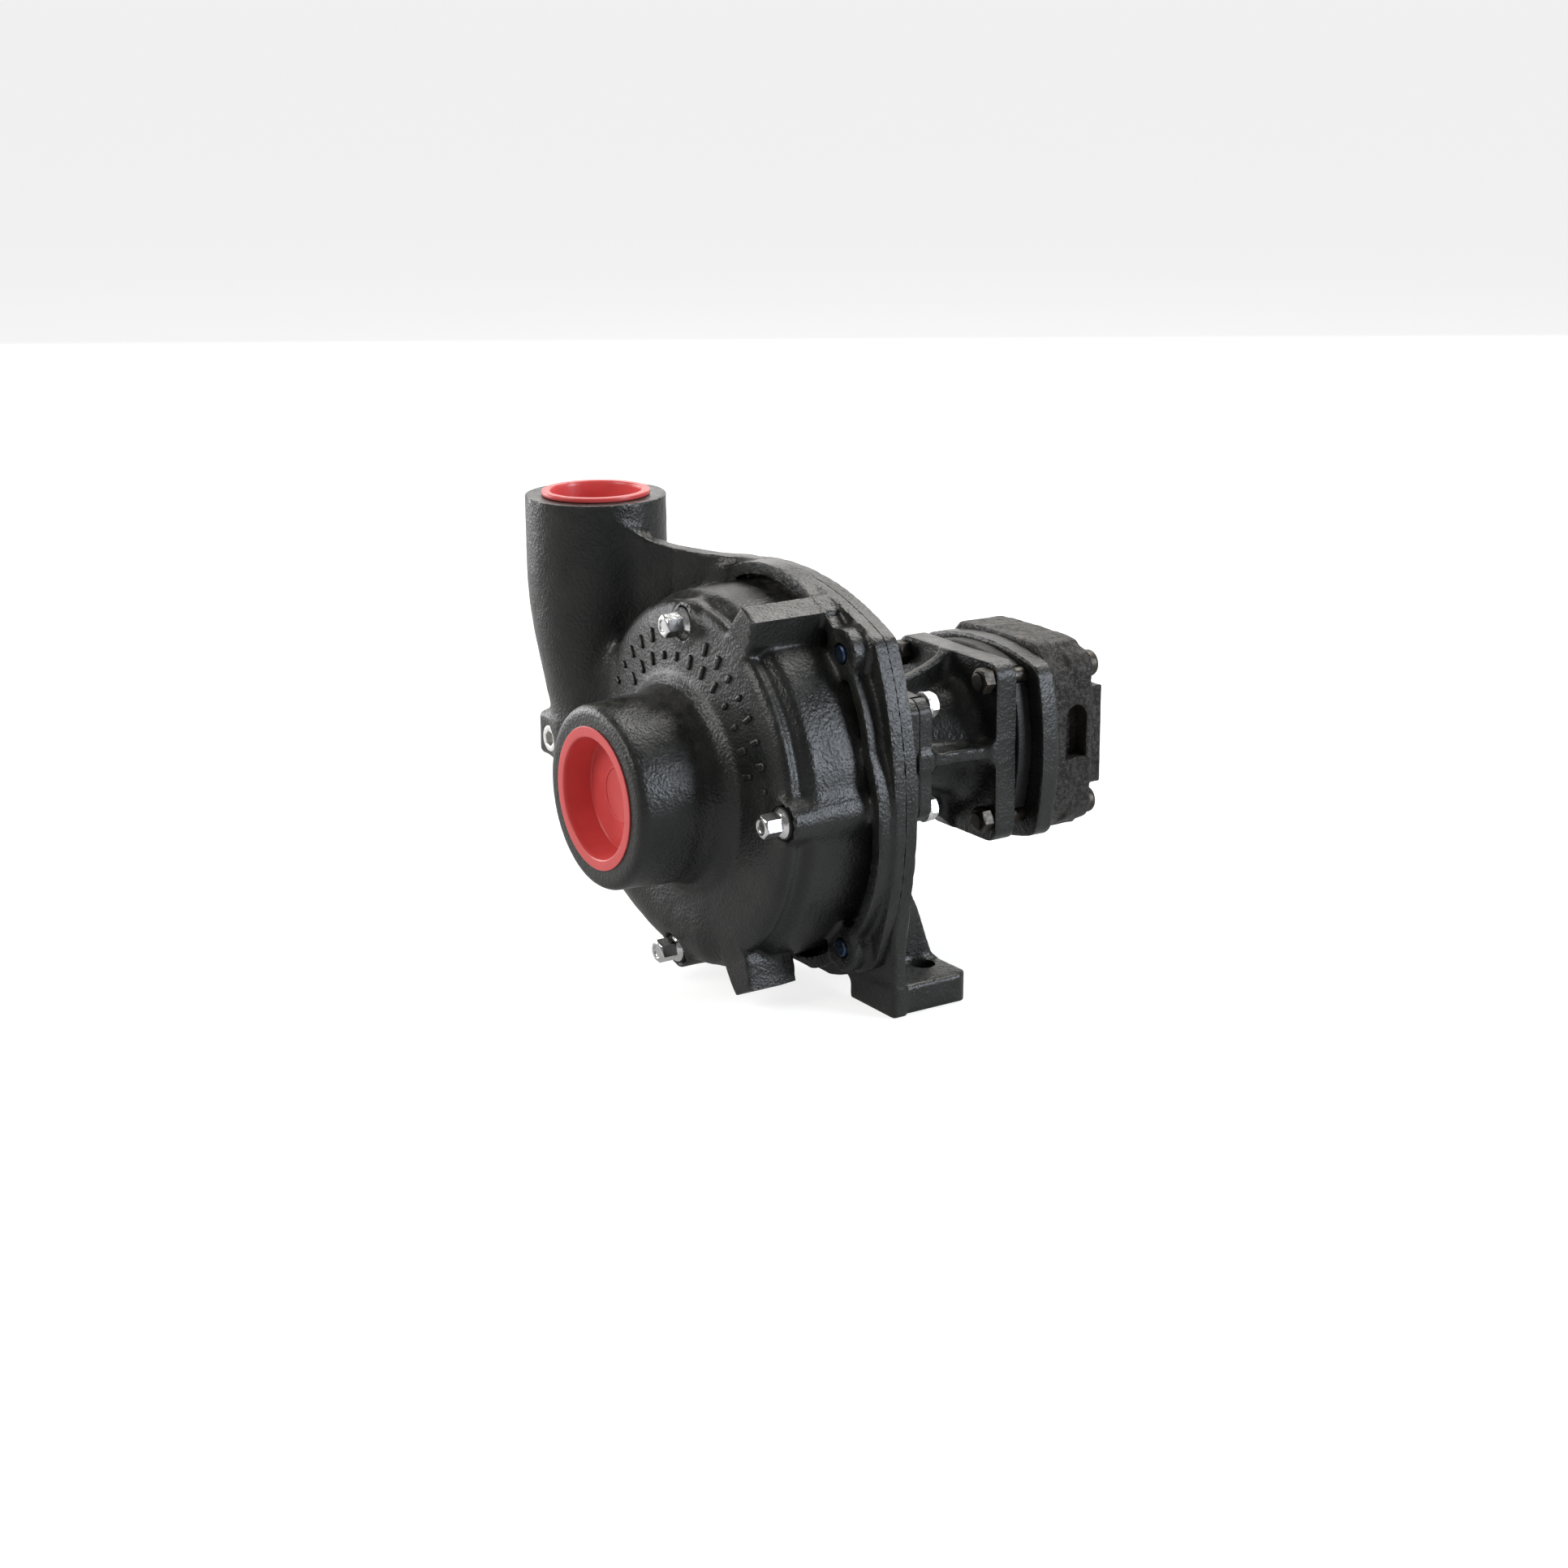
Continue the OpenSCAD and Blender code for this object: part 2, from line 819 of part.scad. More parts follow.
module idler_gear() {
    color([0.6, 0.6, 0.62])
        difference() {
            translate([0, 0, idler_z])
                rotate([0, 180 / teeth, 0])
                    translate([0, 0, -shaft_h])
                        gear_body();
            turned_at(0, idler_z, housing_y - 1, cover_y + 1, tail_r);
        }
}

module idler_shaft() {
    color([0.7, 0.71, 0.73])
        turned_at(0, idler_z, housing_y - bush_t + 0.5, cover_y + 8.5, tail_r);
}

module side_plate(y0) {
    color([0.72, 0.55, 0.3])
        difference() {
            for (z = [shaft_h, idler_z])
                turned_at(0, z, y0, y0 + plate_t, tip_r + 0.1);
            for (z = [shaft_h, idler_z])
                turned_at(0, z, y0 - 1, y0 + 2, tail_r + 0.5);
        }
}

module side_plate_front() {
    side_plate(housing_y);
}

module side_plate_rear() {
    side_plate(cover_y - plate_t);
}

module bush_front() {
    color([0.72, 0.55, 0.3])
        for (z = [shaft_h, idler_z])
            ring_at(0, z, housing_y - bush_t, housing_y, 11, tail_r + 0.04);
}

module bush_rear() {
    color([0.72, 0.55, 0.3])
        for (z = [shaft_h, idler_z])
            ring_at(0, z, cover_y, cover_y + 9, 11, tail_r + 0.04);
}

module dowel_pins() {
    color([0.65, 0.65, 0.67])
        for (s = [-1, 1])
            turned_at(s * 37, shaft_h - s * 12, housing_y - 4.8, cover_y + 5.8, 2.98);
}

casing();
mounting_flange();
suction_cap();
discharge_cap();
front_screws();
front_washers();
flange_bolts();
vent_plug();
motor_adapter();
adapter_bolts();
adapter_washers();
front_plate();
gear_housing();
rear_cover();
motor_bolts();
motor_nuts();
impeller();
impeller_nut();
impeller_key();
pump_shaft();
seal_bellows();
seal_head();
seal_seat();
seat_cup();
casing_oring();
slinger();
front_race_outer();
front_race_inner();
front_balls();
rear_race_outer();
rear_race_inner();
rear_balls();
hub_ring();
shaft_ring();
lip_seal();
drive_gear();
drive_key();
idler_gear();
idler_shaft();
side_plate_front();
side_plate_rear();
bush_front();
bush_rear();
body_oring_front();
body_oring_rear();
dowel_pins();
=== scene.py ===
import json
import math

import bpy
import numpy as np
from mathutils import Matrix, Vector


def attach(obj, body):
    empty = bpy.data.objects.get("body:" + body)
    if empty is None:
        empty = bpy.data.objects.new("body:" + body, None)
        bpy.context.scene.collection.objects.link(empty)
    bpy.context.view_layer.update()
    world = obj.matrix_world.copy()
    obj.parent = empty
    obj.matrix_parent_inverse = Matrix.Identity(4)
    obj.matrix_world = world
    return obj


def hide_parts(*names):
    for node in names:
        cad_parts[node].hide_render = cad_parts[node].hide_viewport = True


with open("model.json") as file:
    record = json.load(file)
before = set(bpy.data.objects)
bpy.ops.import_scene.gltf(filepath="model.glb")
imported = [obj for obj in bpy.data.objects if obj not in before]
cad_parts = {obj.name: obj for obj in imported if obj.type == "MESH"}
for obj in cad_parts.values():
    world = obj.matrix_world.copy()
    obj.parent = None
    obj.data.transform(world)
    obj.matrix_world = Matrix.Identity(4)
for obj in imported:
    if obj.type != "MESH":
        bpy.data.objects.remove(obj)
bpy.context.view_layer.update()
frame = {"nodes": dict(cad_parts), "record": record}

# Shapes are distance fields in millimetres: x and y as in the frame, z measured from the shaft's line.
SHAFT = 98.0
MM = 0.001

# ---------------------------------------------------------------- camera
AZIMUTH, ELEVATION, ROLL = math.radians(57.03), math.radians(15.99), math.radians(-0.37)


def make_camera():
    forward = Vector((-math.sin(AZIMUTH) * math.cos(ELEVATION),
                      math.cos(AZIMUTH) * math.cos(ELEVATION), -math.sin(ELEVATION)))
    right = Vector((math.cos(AZIMUTH), math.sin(AZIMUTH), 0))
    up = right.cross(forward)
    c, s = math.cos(ROLL), math.sin(ROLL)
    right, up = right * c + up * s, up * c - right * s
    cam = bpy.data.objects.new("camera", bpy.data.cameras.new("camera"))
    bpy.context.scene.collection.objects.link(cam)
    m = Matrix.Identity(4)
    for row in range(3):
        m[row][0], m[row][1], m[row][2] = right[row], up[row], -forward[row]
    m.translation = Vector((1.06997, -0.71567, 0.46005))
    cam.matrix_world = m
    cam.data.sensor_width = 36
    cam.data.lens = 65.22
    cam.data.shift_x, cam.data.shift_y = -0.01127, -0.01051
    cam.data.clip_start, cam.data.clip_end = 0.05, 200
    bpy.context.scene.camera = cam


make_camera()


# ---------------------------------------------------------------- distance fields
def smin(a, b, k):
    """Union of two fields with a fillet of size k."""
    h = np.maximum(k - np.abs(a - b), 0) / k
    return np.minimum(a, b) - h * h * (k * 0.25)


def smax(a, b, k):
    """Intersection of two fields with their edge rounded by k."""
    h = np.maximum(k - np.abs(a - b), 0) / k
    return np.maximum(a, b) + h * h * (k * 0.25)


def cut(a, b, k=0.6):
    """Field a with b taken away."""
    return smax(a, -b, k)


def prism(d, y, y0, y1, e=0.8):
    """A flat shape whose field is d, carried from y0 to y1, its edges rounded by e."""
    a = d + e
    b = np.abs(y - (y0 + y1) / 2) - (y1 - y0) / 2 + e
    return np.minimum(np.maximum(a, b), 0) + np.hypot(np.maximum(a, 0), np.maximum(b, 0)) - e


def dist(x, z, cx=0.0, cz=0.0):
    return np.hypot(x - cx, z - cz)


def rod(x, y, z, cx, cz, r, y0, y1, e=0.6):
    """A bar of radius r along Y."""
    return prism(dist(x, z, cx, cz) - r, y, y0, y1, e)


def block(x, y, z, lo, hi, e=0.8):
    """A box with rounded edges."""
    q = [np.abs(v - (a + b) / 2) - (b - a) / 2 + e for v, a, b in zip((x, y, z), lo, hi)]
    far = np.sqrt(sum(np.maximum(v, 0) ** 2 for v in q))
    return far + np.minimum(np.maximum(np.maximum(q[0], q[1]), q[2]), 0) - e


def outline(x, z, pts):
    """Field of a closed polygon."""
    d = (x - pts[0][0]) ** 2 + (z - pts[0][1]) ** 2
    sign = np.ones_like(d)
    j = len(pts) - 1
    for i, (px, pz) in enumerate(pts):
        ex, ez = pts[j][0] - px, pts[j][1] - pz
        wx, wz = x - px, z - pz
        t = np.clip((wx * ex + wz * ez) / (ex * ex + ez * ez), 0, 1)
        d = np.minimum(d, (wx - ex * t) ** 2 + (wz - ez * t) ** 2)
        above, below, left = z >= pz, z < pts[j][1], ex * wz > ez * wx
        sign = np.where((above & below & left) | (~above & ~below & ~left), -sign, sign)
        j = i
    return sign * np.sqrt(d)


def bulged(x, z, hx, hz, big, corner, k=5.0):
    """A square with bulged sides and trimmed corners."""
    d = smax(dist(x, z, hx - big) - big, dist(x, z, big - hx) - big, k)
    d = smax(d, dist(x, z, 0, hz - big) - big, k)
    d = smax(d, dist(x, z, 0, big - hz) - big, k)
    return smax(d, dist(x, z) - corner, k)


def chamfered(x, z, hx, hz, c, k=1.5):
    """A rectangle of half sizes hx and hz with its corners cut by c."""
    d = smax(np.abs(x) - hx, np.abs(z) - hz, k)
    return smax(d, (np.abs(x) + np.abs(z) - hx - hz + c) * math.sqrt(0.5), k)


def hexagon(x, z, across, turn=0.0):
    """A hexagon, across its flats, turned in degrees."""
    d = None
    for k in range(3):
        a = math.radians(turn + 60 * k)
        f = np.abs(x * math.cos(a) + z * math.sin(a)) - across / 2
        d = f if d is None else np.maximum(d, f)
    return d


class Lathe:
    """Field of a profile of [radius, y] points turned about the shaft, with its corners softened."""

    def __init__(self, pts, soft=0.0, cell=0.5, margin=26):
        rs, ys = [p[0] for p in pts], [p[1] for p in pts]
        self.r0, self.y0, self.cell = min(rs) - margin, min(ys) - margin, cell
        r = np.arange(self.r0, max(rs) + margin, cell)[:, None]
        y = np.arange(self.y0, max(ys) + margin, cell)[None, :]
        t = outline(r, y, pts)
        for _ in range(int(2 * (soft / cell) ** 2)):
            t[1:-1] = (t[:-2] + 2 * t[1:-1] + t[2:]) / 4
            t[:, 1:-1] = (t[:, :-2] + 2 * t[:, 1:-1] + t[:, 2:]) / 4
        self.table = t.astype(np.float32)

    def __call__(self, r, y):
        n, m = self.table.shape
        fr = np.clip((r - self.r0) / self.cell, 0, n - 1.01)
        fy = np.clip((y - self.y0) / self.cell, 0, m - 1.01)
        ir, iy = fr.astype(np.int32), fy.astype(np.int32)
        fr, fy, t = fr - ir, fy - iy, self.table
        return ((t[ir, iy] * (1 - fr) + t[ir + 1, iy] * fr) * (1 - fy)
                + (t[ir, iy + 1] * (1 - fr) + t[ir + 1, iy + 1] * fr) * fy)


# ---------------------------------------------------------------- from field to mesh
def contour(field, lo, hi, step):
    """Dual contouring: one vertex in each cell that the surface crosses, placed by the surface's tangents."""
    count = [int(math.ceil((b - a) / step)) + 1 for a, b in zip(lo, hi)]
    axes = [lo[i] + step * np.arange(count[i]) for i in range(3)]
    f = np.broadcast_to(field(axes[0][:, None, None], axes[1][None, :, None], axes[2][None, None, :]), count)
    inside = f < 0
    start, axis_of, outward = [], [], []
    t_all = []
    for a in range(3):
        cut_a = [slice(None)] * 3
        cut_b = [slice(None)] * 3
        cut_a[a], cut_b[a] = slice(0, -1), slice(1, None)
        p = np.argwhere(inside[tuple(cut_a)] != inside[tuple(cut_b)])
        q = p.copy()
        q[:, a] += 1
        f0, f1 = f[tuple(p.T)], f[tuple(q.T)]
        start.append(p)
        axis_of.append(np.full(len(p), a))
        outward.append(f0 < 0)
        t_all.append(f0 / (f0 - f1))
    start, axis_of, outward = np.concatenate(start), np.concatenate(axis_of), np.concatenate(outward)
    t = np.concatenate(t_all)
    unit = np.eye(3)[axis_of]
    base = np.array(lo) + start * step

    def at(pos):
        return field(pos[:, 0], pos[:, 1], pos[:, 2])

    low, high = np.zeros_like(t), np.ones_like(t)
    for _ in range(4):
        g = at(base + unit * (t * step)[:, None])
        same = (g < 0) == outward
        low, high = np.where(same, t, low), np.where(same, high, t)
        newton = np.clip(t + np.where(outward, -g, g) / step, low, high)
        t = np.where((newton > low) & (newton < high), newton, (low + high) / 2)
    pos = base + unit * (t * step)[:, None]
    eps = 0.12 * min(step, 1.5)
    grad = np.stack([at(pos + d) - at(pos - d) for d in np.eye(3) * eps], axis=1)
    grad /= np.maximum(np.linalg.norm(grad, axis=1, keepdims=True), 1e-9)

    cells = np.empty((len(start), 4), np.int64)
    for a in range(3):
        m = axis_of == a
        b, c = (a + 1) % 3, (a + 2) % 3
        for col, (db, dc) in enumerate(((-1, -1), (0, -1), (0, 0), (-1, 0))):
            ijk = start[m].copy()
            ijk[:, b] += db
            ijk[:, c] += dc
            cells[m, col] = (ijk[:, 0] * count[1] + ijk[:, 1]) * count[2] + ijk[:, 2]
    ids, back = np.unique(cells.ravel(), return_inverse=True)
    n = len(ids)
    p4, g4 = np.repeat(pos, 4, axis=0), np.repeat(grad, 4, axis=0)
    back = back.ravel()

    def total(w):
        return np.bincount(back, weights=w, minlength=n)

    number = total(np.ones(len(back)))
    mass = np.stack([total(p4[:, i]) for i in range(3)], axis=1) / number[:, None]
    ata = np.empty((n, 3, 3))
    for i in range(3):
        for j in range(i, 3):
            ata[:, i, j] = ata[:, j, i] = total(g4[:, i] * g4[:, j])
    plane = np.sum(g4 * p4, axis=1)
    rhs = np.stack([total(g4[:, i] * plane) for i in range(3)], axis=1)
    rhs -= np.einsum("nij,nj->ni", ata, mass)
    ata += np.eye(3) * (0.04 * number)[:, None, None]
    corner = np.stack(np.unravel_index(ids, count), axis=1) * step + np.array(lo)
    verts = mass + np.linalg.solve(ata, rhs[:, :, None])[:, :, 0]
    verts = np.clip(verts, corner + 0.02 * step, corner + 0.98 * step)
    quads = back.reshape(-1, 4)
    quads = np.where(outward[:, None], quads, quads[:, ::-1])
    return verts, quads


LATTICE = np.random.default_rng(7).uniform(-1, 1, (32, 32, 32))


def lattice_noise(p, size):
    """Smooth noise of one grain size, in -1 to 1, at an array of points."""
    q = p / size
    i = np.floor(q).astype(int)
    f = q - i
    f = f * f * (3 - 2 * f)
    out = np.zeros(len(p))
    for dx in (0, 1):
        for dy in (0, 1):
            for dz in (0, 1):
                w = (np.where(dx, f[:, 0], 1 - f[:, 0]) * np.where(dy, f[:, 1], 1 - f[:, 1])
                     * np.where(dz, f[:, 2], 1 - f[:, 2]))
                out += w * LATTICE[(i[:, 0] + dx) % 32, (i[:, 1] + dy) % 32, (i[:, 2] + dz) % 32]
    return out


def normals_of(verts, quads):
    a = verts[quads[:, 2]] - verts[quads[:, 0]]
    b = verts[quads[:, 3]] - verts[quads[:, 1]]
    face = np.cross(a, b)
    out = np.zeros_like(verts)
    for k in range(4):
        for i in range(3):
            out[:, i] += np.bincount(quads[:, k], weights=face[:, i], minlength=len(verts))
    return out / np.maximum(np.linalg.norm(out, axis=1, keepdims=True), 1e-9)


def mesh_object(name, verts, faces, material, sharp=40, shift=(0, 0, SHAFT)):
    """A Blender object from points in millimetres."""
    mesh = bpy.data.meshes.new(name)
    v = (np.asarray(verts) + np.array(shift)) * MM
    faces = np.asarray(faces)
    mesh.vertices.add(len(v))
    mesh.vertices.foreach_set("co", v.astype(np.float32).ravel())
    mesh.loops.add(faces.size)
    mesh.loops.foreach_set("vertex_index", faces.ravel().astype(np.int32))
    mesh.polygons.add(len(faces))
    mesh.polygons.foreach_set("loop_start", np.arange(len(faces), dtype=np.int32) * faces.shape[1])
    mesh.update(calc_edges=True)
    mesh.validate()
    mesh.shade_smooth()
    mesh.set_sharp_from_angle(angle=math.radians(sharp))
    mesh.materials.append(material)
    obj = bpy.data.objects.new(name, mesh)
    bpy.context.scene.collection.objects.link(obj)
    return obj


def carve(name, field, lo, hi, step, material, rough=0.0, grain=9.0, keep=None):
    """A piece cut from a field. rough is the height of the casting's unevenness, and keep scales it by place:
    0 on a machined face, 1 on a cast one."""
    verts, quads = contour(field, lo, hi, step)
    if rough:
        n = normals_of(verts, quads)
        h = lattice_noise(verts, grain) + 0.5 * lattice_noise(verts + 50, grain * 0.43)
        h *= rough
        if keep is not None:
            h *= keep(verts[:, 0], verts[:, 1], verts[:, 2])
        verts = verts + n * h[:, None]
    return mesh_object(name, verts, quads, material)


def copies(verts, faces, places):
    """One mesh repeated at several places (x, z)."""
    vs, fs = [], []
    for k, (x, z) in enumerate(places):
        vs.append(verts + np.array([x, 0, z]))
        fs.append(faces + k * len(verts))
    return np.concatenate(vs), np.concatenate(fs)


def settle(obj, body, slot, *nodes):
    """Fixes a piece to its body and hides the CAD nodes it stands in for; its slot argument is not used."""
    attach(obj, body)
    if nodes:
        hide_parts(*nodes)
    return obj


# ---------------------------------------------------------------- materials
class Nodes:
    """A small helper to wire a procedural material."""

    def __init__(self, name):
        self.material = bpy.data.materials.new(name)
        self.material.use_nodes = True
        self.tree = self.material.node_tree
        self.shader = self.tree.nodes["Principled BSDF"]
        self.place = self.tree.nodes.new("ShaderNodeTexCoord").outputs["Object"]

    def new(self, kind, **values):
        n = self.tree.nodes.new(kind)
        for k, v in values.items():
            setattr(n, k, v)
        return n

    def link(self, a, b):
        self.tree.links.new(a, b)

    def noise(self, scale, detail=2.0, roughness=0.5, stretch=None):
        n = self.new("ShaderNodeTexNoise")
        n.inputs["Scale"].default_value = scale
        n.inputs["Detail"].default_value = detail
        n.inputs["Roughness"].default_value = roughness
        place = self.place
        if stretch:
            m = self.new("ShaderNodeMapping")
            m.inputs["Scale"].default_value = stretch
            self.link(place, m.inputs["Vector"])
            place = m.outputs["Vector"]
        self.link(place, n.inputs["Vector"])
        return n.outputs["Fac"]

    def cells(self, scale):
        n = self.new("ShaderNodeTexVoronoi", feature="SMOOTH_F1")
        n.inputs["Scale"].default_value = scale
        self.link(self.place, n.inputs["Vector"])
        return n.outputs["Distance"]

    def ramp(self, source, *stops):
        """stops are (position, colour or grey value)."""
        n = self.new("ShaderNodeValToRGB")
        e = n.color_ramp.elements
        while len(e) < len(stops):
            e.new(0.5)
        for k, (at, c) in enumerate(stops):
            e[k].position = at
            e[k].color = (c, c, c, 1) if isinstance(c, (int, float)) else (*c, 1)
        self.link(source, n.inputs["Fac"])
        return n.outputs["Color"]

    def mix(self, fac, a, b):
        n = self.new("ShaderNodeMix", data_type="RGBA", blend_type="MIX")
        for key, v in (("Factor", fac), ("A", a), ("B", b)):
            socket = [s for s in n.inputs if s.name == key and s.enabled][0]
            if hasattr(v, "is_linked"):
                self.link(v, socket)
            elif isinstance(v, (int, float)) and key == "Factor":
                socket.default_value = v
            else:
                socket.default_value = (*v, 1)
        return [s for s in n.outputs if s.enabled][0]

    def math(self, op, a, b):
        n = self.new("ShaderNodeMath", operation=op)
        for k, v in enumerate((a, b)):
            if hasattr(v, "is_linked"):
                self.link(v, n.inputs[k])
            else:
                n.inputs[k].default_value = v
        return n.outputs[0]

    def bump(self, height, strength, distance, after=None):
        n = self.new("ShaderNodeBump")
        n.inputs["Strength"].default_value = strength
        n.inputs["Distance"].default_value = distance
        self.link(height, n.inputs["Height"])
        if after is not None:
            self.link(after, n.inputs["Normal"])
        return n.outputs["Normal"]

    def set(self, **values):
        for k, v in values.items():
            socket = self.shader.inputs[k.replace("_", " ")]
            if hasattr(v, "is_linked"):
                self.link(v, socket)
            else:
                socket.default_value = v if isinstance(v, (int, float)) else (*v, 1)
        return self.material


def cast_paint(name, dark, light, dust_and_top_light, rough=(0.34, 0.5), pebble=1.0, dust_and_top_light_amount=0.5, pits=0.0):
    """Thin paint over a sand casting: pebbles, soft mottling, dust and painted top light on faces that look
    up, and worn edges.
    """
    n = Nodes(name)
    mottle = n.noise(45, 4, 0.55)
    colour = n.ramp(mottle, (0.35, dark), (0.68, light))
    normal = n.new("ShaderNodeNewGeometry")
    split = n.new("ShaderNodeSeparateXYZ")
    n.link(normal.outputs["Normal"], split.inputs["Vector"])
    # Faces that look up are lightened towards a warm grey: partly dust, partly painted top light.
    upward = n.ramp(split.outputs["Z"], (0.35, 0.0), (0.95, 1.0))
    grit = n.ramp(n.noise(160, 5, 0.7), (0.42, 0.0), (0.62, 1.0))
    dust_and_top_light_mask = n.math("MULTIPLY", n.math("MULTIPLY", upward, grit), dust_and_top_light_amount)
    colour = n.mix(dust_and_top_light_mask, colour, dust_and_top_light)
    edge = n.ramp(normal.outputs["Pointiness"], (0.53, 0.0), (0.6, 1.0))
    chips = n.ramp(n.noise(300, 3), (0.45, 0.0), (0.6, 1.0))
    wear = n.math("MULTIPLY", n.math("MULTIPLY", edge, chips), 0.45)
    colour = n.mix(wear, colour, (0.085, 0.08, 0.078))
    fine_grain = n.math("MULTIPLY", n.noise(1500, 3, 0.6), 0.6)
    height = n.math("ADD", fine_grain, n.math("MULTIPLY", n.cells(760), 0.9))
    b = n.bump(n.noise(240, 3, 0.6), 0.3 * pebble, 0.0006)
    b = n.bump(height, min(1.0, 0.6 * pebble), 0.0004, b)
    if pits:
        holes = n.ramp(n.noise(420, 4, 0.75), (0.36, 0.0), (0.5, 1.0))
        b = n.bump(holes, pits, 0.0007, b)
        colour = n.mix(n.math("SUBTRACT", 1.0, holes), colour, (0.012, 0.01, 0.009))
    gloss = n.ramp(n.noise(90, 3), (0.3, rough[0]), (0.7, rough[1]))
    return n.set(Base_Color=colour, Roughness=gloss, Normal=b)


def metal(name, colour, rough, scratch=(1, 1, 1), tarnish=(0.2, 0.18, 0.15), amount=0.25, strength=0.15):
    """Bare or plated metal with fine tool marks and a little tarnish."""
    n = Nodes(name)
    lines = n.noise(900, 3, 0.6, scratch)
    blot = n.ramp(n.noise(220, 4, 0.6), (0.5, 0.0), (0.72, 1.0))
    base = n.mix(n.math("MULTIPLY", blot, amount), colour, tarnish)
    gloss = n.ramp(n.noise(500, 3), (0.3, rough * 0.75), (0.75, min(1.0, rough * 1.5)))
    return n.set(Base_Color=base, Metallic=1.0, Roughness=gloss, Normal=n.bump(lines, strength, 0.0002))


def plastic(name, colour, deep, rough):
    """Moulded plastic: soft gloss, faint flow marks and scuffs."""
    n = Nodes(name)
    base = n.mix(n.ramp(n.noise(60, 3), (0.3, 0.0), (0.75, 1.0)), colour, deep)
    scuff = n.ramp(n.noise(700, 4, 0.7, (1, 1, 0.2)), (0.55, 0.0), (0.75, 1.0))
    gloss = n.ramp(scuff, (0.0, rough), (1.0, rough + 0.2))
    b = n.bump(n.noise(140, 2), 0.12, 0.0005)
    b = n.bump(scuff, 0.08, 0.0001, b)
    n.shader.inputs["Subsurface Weight"].default_value = 0.12
    n.shader.inputs["Subsurface Radius"].default_value = (0.004, 0.0012, 0.001)
    n.shader.inputs["Subsurface Scale"].default_value = 0.5
    return n.set(Base_Color=base, Roughness=gloss, Normal=b)


def rubber(name, colour, rough=0.6):
    """Soft black rubber, or carbon where rough is lower."""
    n = Nodes(name)
    base = n.ramp(n.noise(200, 4), (0.3, colour), (0.8, tuple(c * 1.9 for c in colour)))
    b = n.bump(n.noise(1200, 2), 0.2, 0.0002)
    return n.set(Base_Color=base, Roughness=n.ramp(n.noise(400, 2), (0.3, rough - 0.1), (0.8, rough + 0.15)),
                 Normal=b)


M = {
    # The black casting's tones lean slightly green: a painted reflection of a greenish surround.
    "black_casting": cast_paint("black_casting", (0.0075, 0.0092, 0.0078), (0.0165, 0.0178, 0.0158),
                                (0.1, 0.095, 0.086), (0.27, 0.38)),
    "dark_plate": cast_paint("dark_plate", (0.006, 0.006, 0.006), (0.012, 0.012, 0.011),
                             (0.045, 0.04, 0.034), (0.45, 0.62), 0.6, 0.5),
    "rough_casting": cast_paint("rough_casting", (0.014, 0.012, 0.0105), (0.034, 0.029, 0.025),
                                (0.085, 0.072, 0.058), (0.42, 0.62), 1.5, 0.7, 0.8),
    "red_plastic": plastic("red_plastic", (0.72, 0.1, 0.095), (0.66, 0.075, 0.075), 0.32),
    "bright_steel": metal("bright_steel", (0.86, 0.86, 0.86), 0.17, amount=0.12),
    "black_rubber": rubber("black_rubber", (0.011, 0.011, 0.011)),
    "blued_steel": metal("blued_steel", (0.055, 0.085, 0.16), 0.34, amount=0.4),
    "zinc_steel": metal("zinc_steel", (0.86, 0.86, 0.84), 0.4, amount=0.2),
    "black_steel": metal("black_steel", (0.07, 0.066, 0.06), 0.42, tarnish=(0.12, 0.08, 0.05), amount=0.5),
    "grey_iron": metal("grey_iron", (0.33, 0.33, 0.33), 0.5, strength=0.6),
    "stainless": metal("stainless", (0.63, 0.63, 0.62), 0.25, (1, 6, 1)),
    "carbon": rubber("carbon", (0.03, 0.03, 0.032), 0.35),
    "ceramic": plastic("ceramic", (0.8, 0.77, 0.7), (0.74, 0.7, 0.62), 0.25),
    "bearing_steel": metal("bearing_steel", (0.76, 0.77, 0.78), 0.12, amount=0.08, strength=0.05),
    "gear_steel": metal("gear_steel", (0.5, 0.5, 0.51), 0.28, (1, 8, 1)),
    "bronze": metal("bronze", (0.6, 0.4, 0.2), 0.3, (1, 5, 1)),
}
SLOT_OF = {row["node"]: row["material_slot"] for row in frame["record"]["subparts"]}
for name, obj in frame["nodes"].items():
    obj.data.materials.clear()
    obj.data.materials.append(M[SLOT_OF[name]])

# ---------------------------------------------------------------- places of the fasteners, as (x, z)
SCREWS = ((0.5, 74.0), (81.0, 0.8), (-11.0, -83.0))
LUG_R = 96.0
LUGS = tuple((LUG_R * math.cos(math.radians(a)), LUG_R * math.sin(math.radians(a)))
             for a in (45, 135, 225, 315))
PLUG = (-105.0, -1.4)
ADAPTER_BOLTS = tuple((sx * 27.5, sz * 25.0) for sx in (-1, 1) for sz in (-1, 1))
MOTOR_BOLTS = tuple((sx * 34.0, sz * 34.0) for sx in (-1, 1) for sz in (-1, 1))
BOLT_HOLE_R = 4.3

# ---------------------------------------------------------------- casing
VOLUTE_Y = -70.0
TUBE_FROM, TUBE_SWEEP = -84.0, 96.0
BARREL_R, REACH = 86.0, 118.0
NECK_X, PORT_TOP = -104, 115.6
JOINT_Y, PLATE_Y = -31, -25
FLANGE_FOOT = -89

FRONT = Lathe([[-20, -132], [39, -132], [42, -129], [43.5, -100], [45.5, -92], [51, -87.2], [74, -84.6],
               [80, -83], [83.2, -80.6], [83.6, -78.6], [82, -76.6], [82, -75], [84.6, -72.8], [86.5, -70.6],
               [86.9, -54], [87, -50], [87, -34], [-20, -34]], soft=1.4)
NOZZLE_FACE = Lathe([[-20, -132], [38.8, -132], [41, -131.1], [42, -129], [43.3, -104], [-20, -104]],
                    soft=0.6, cell=0.25)


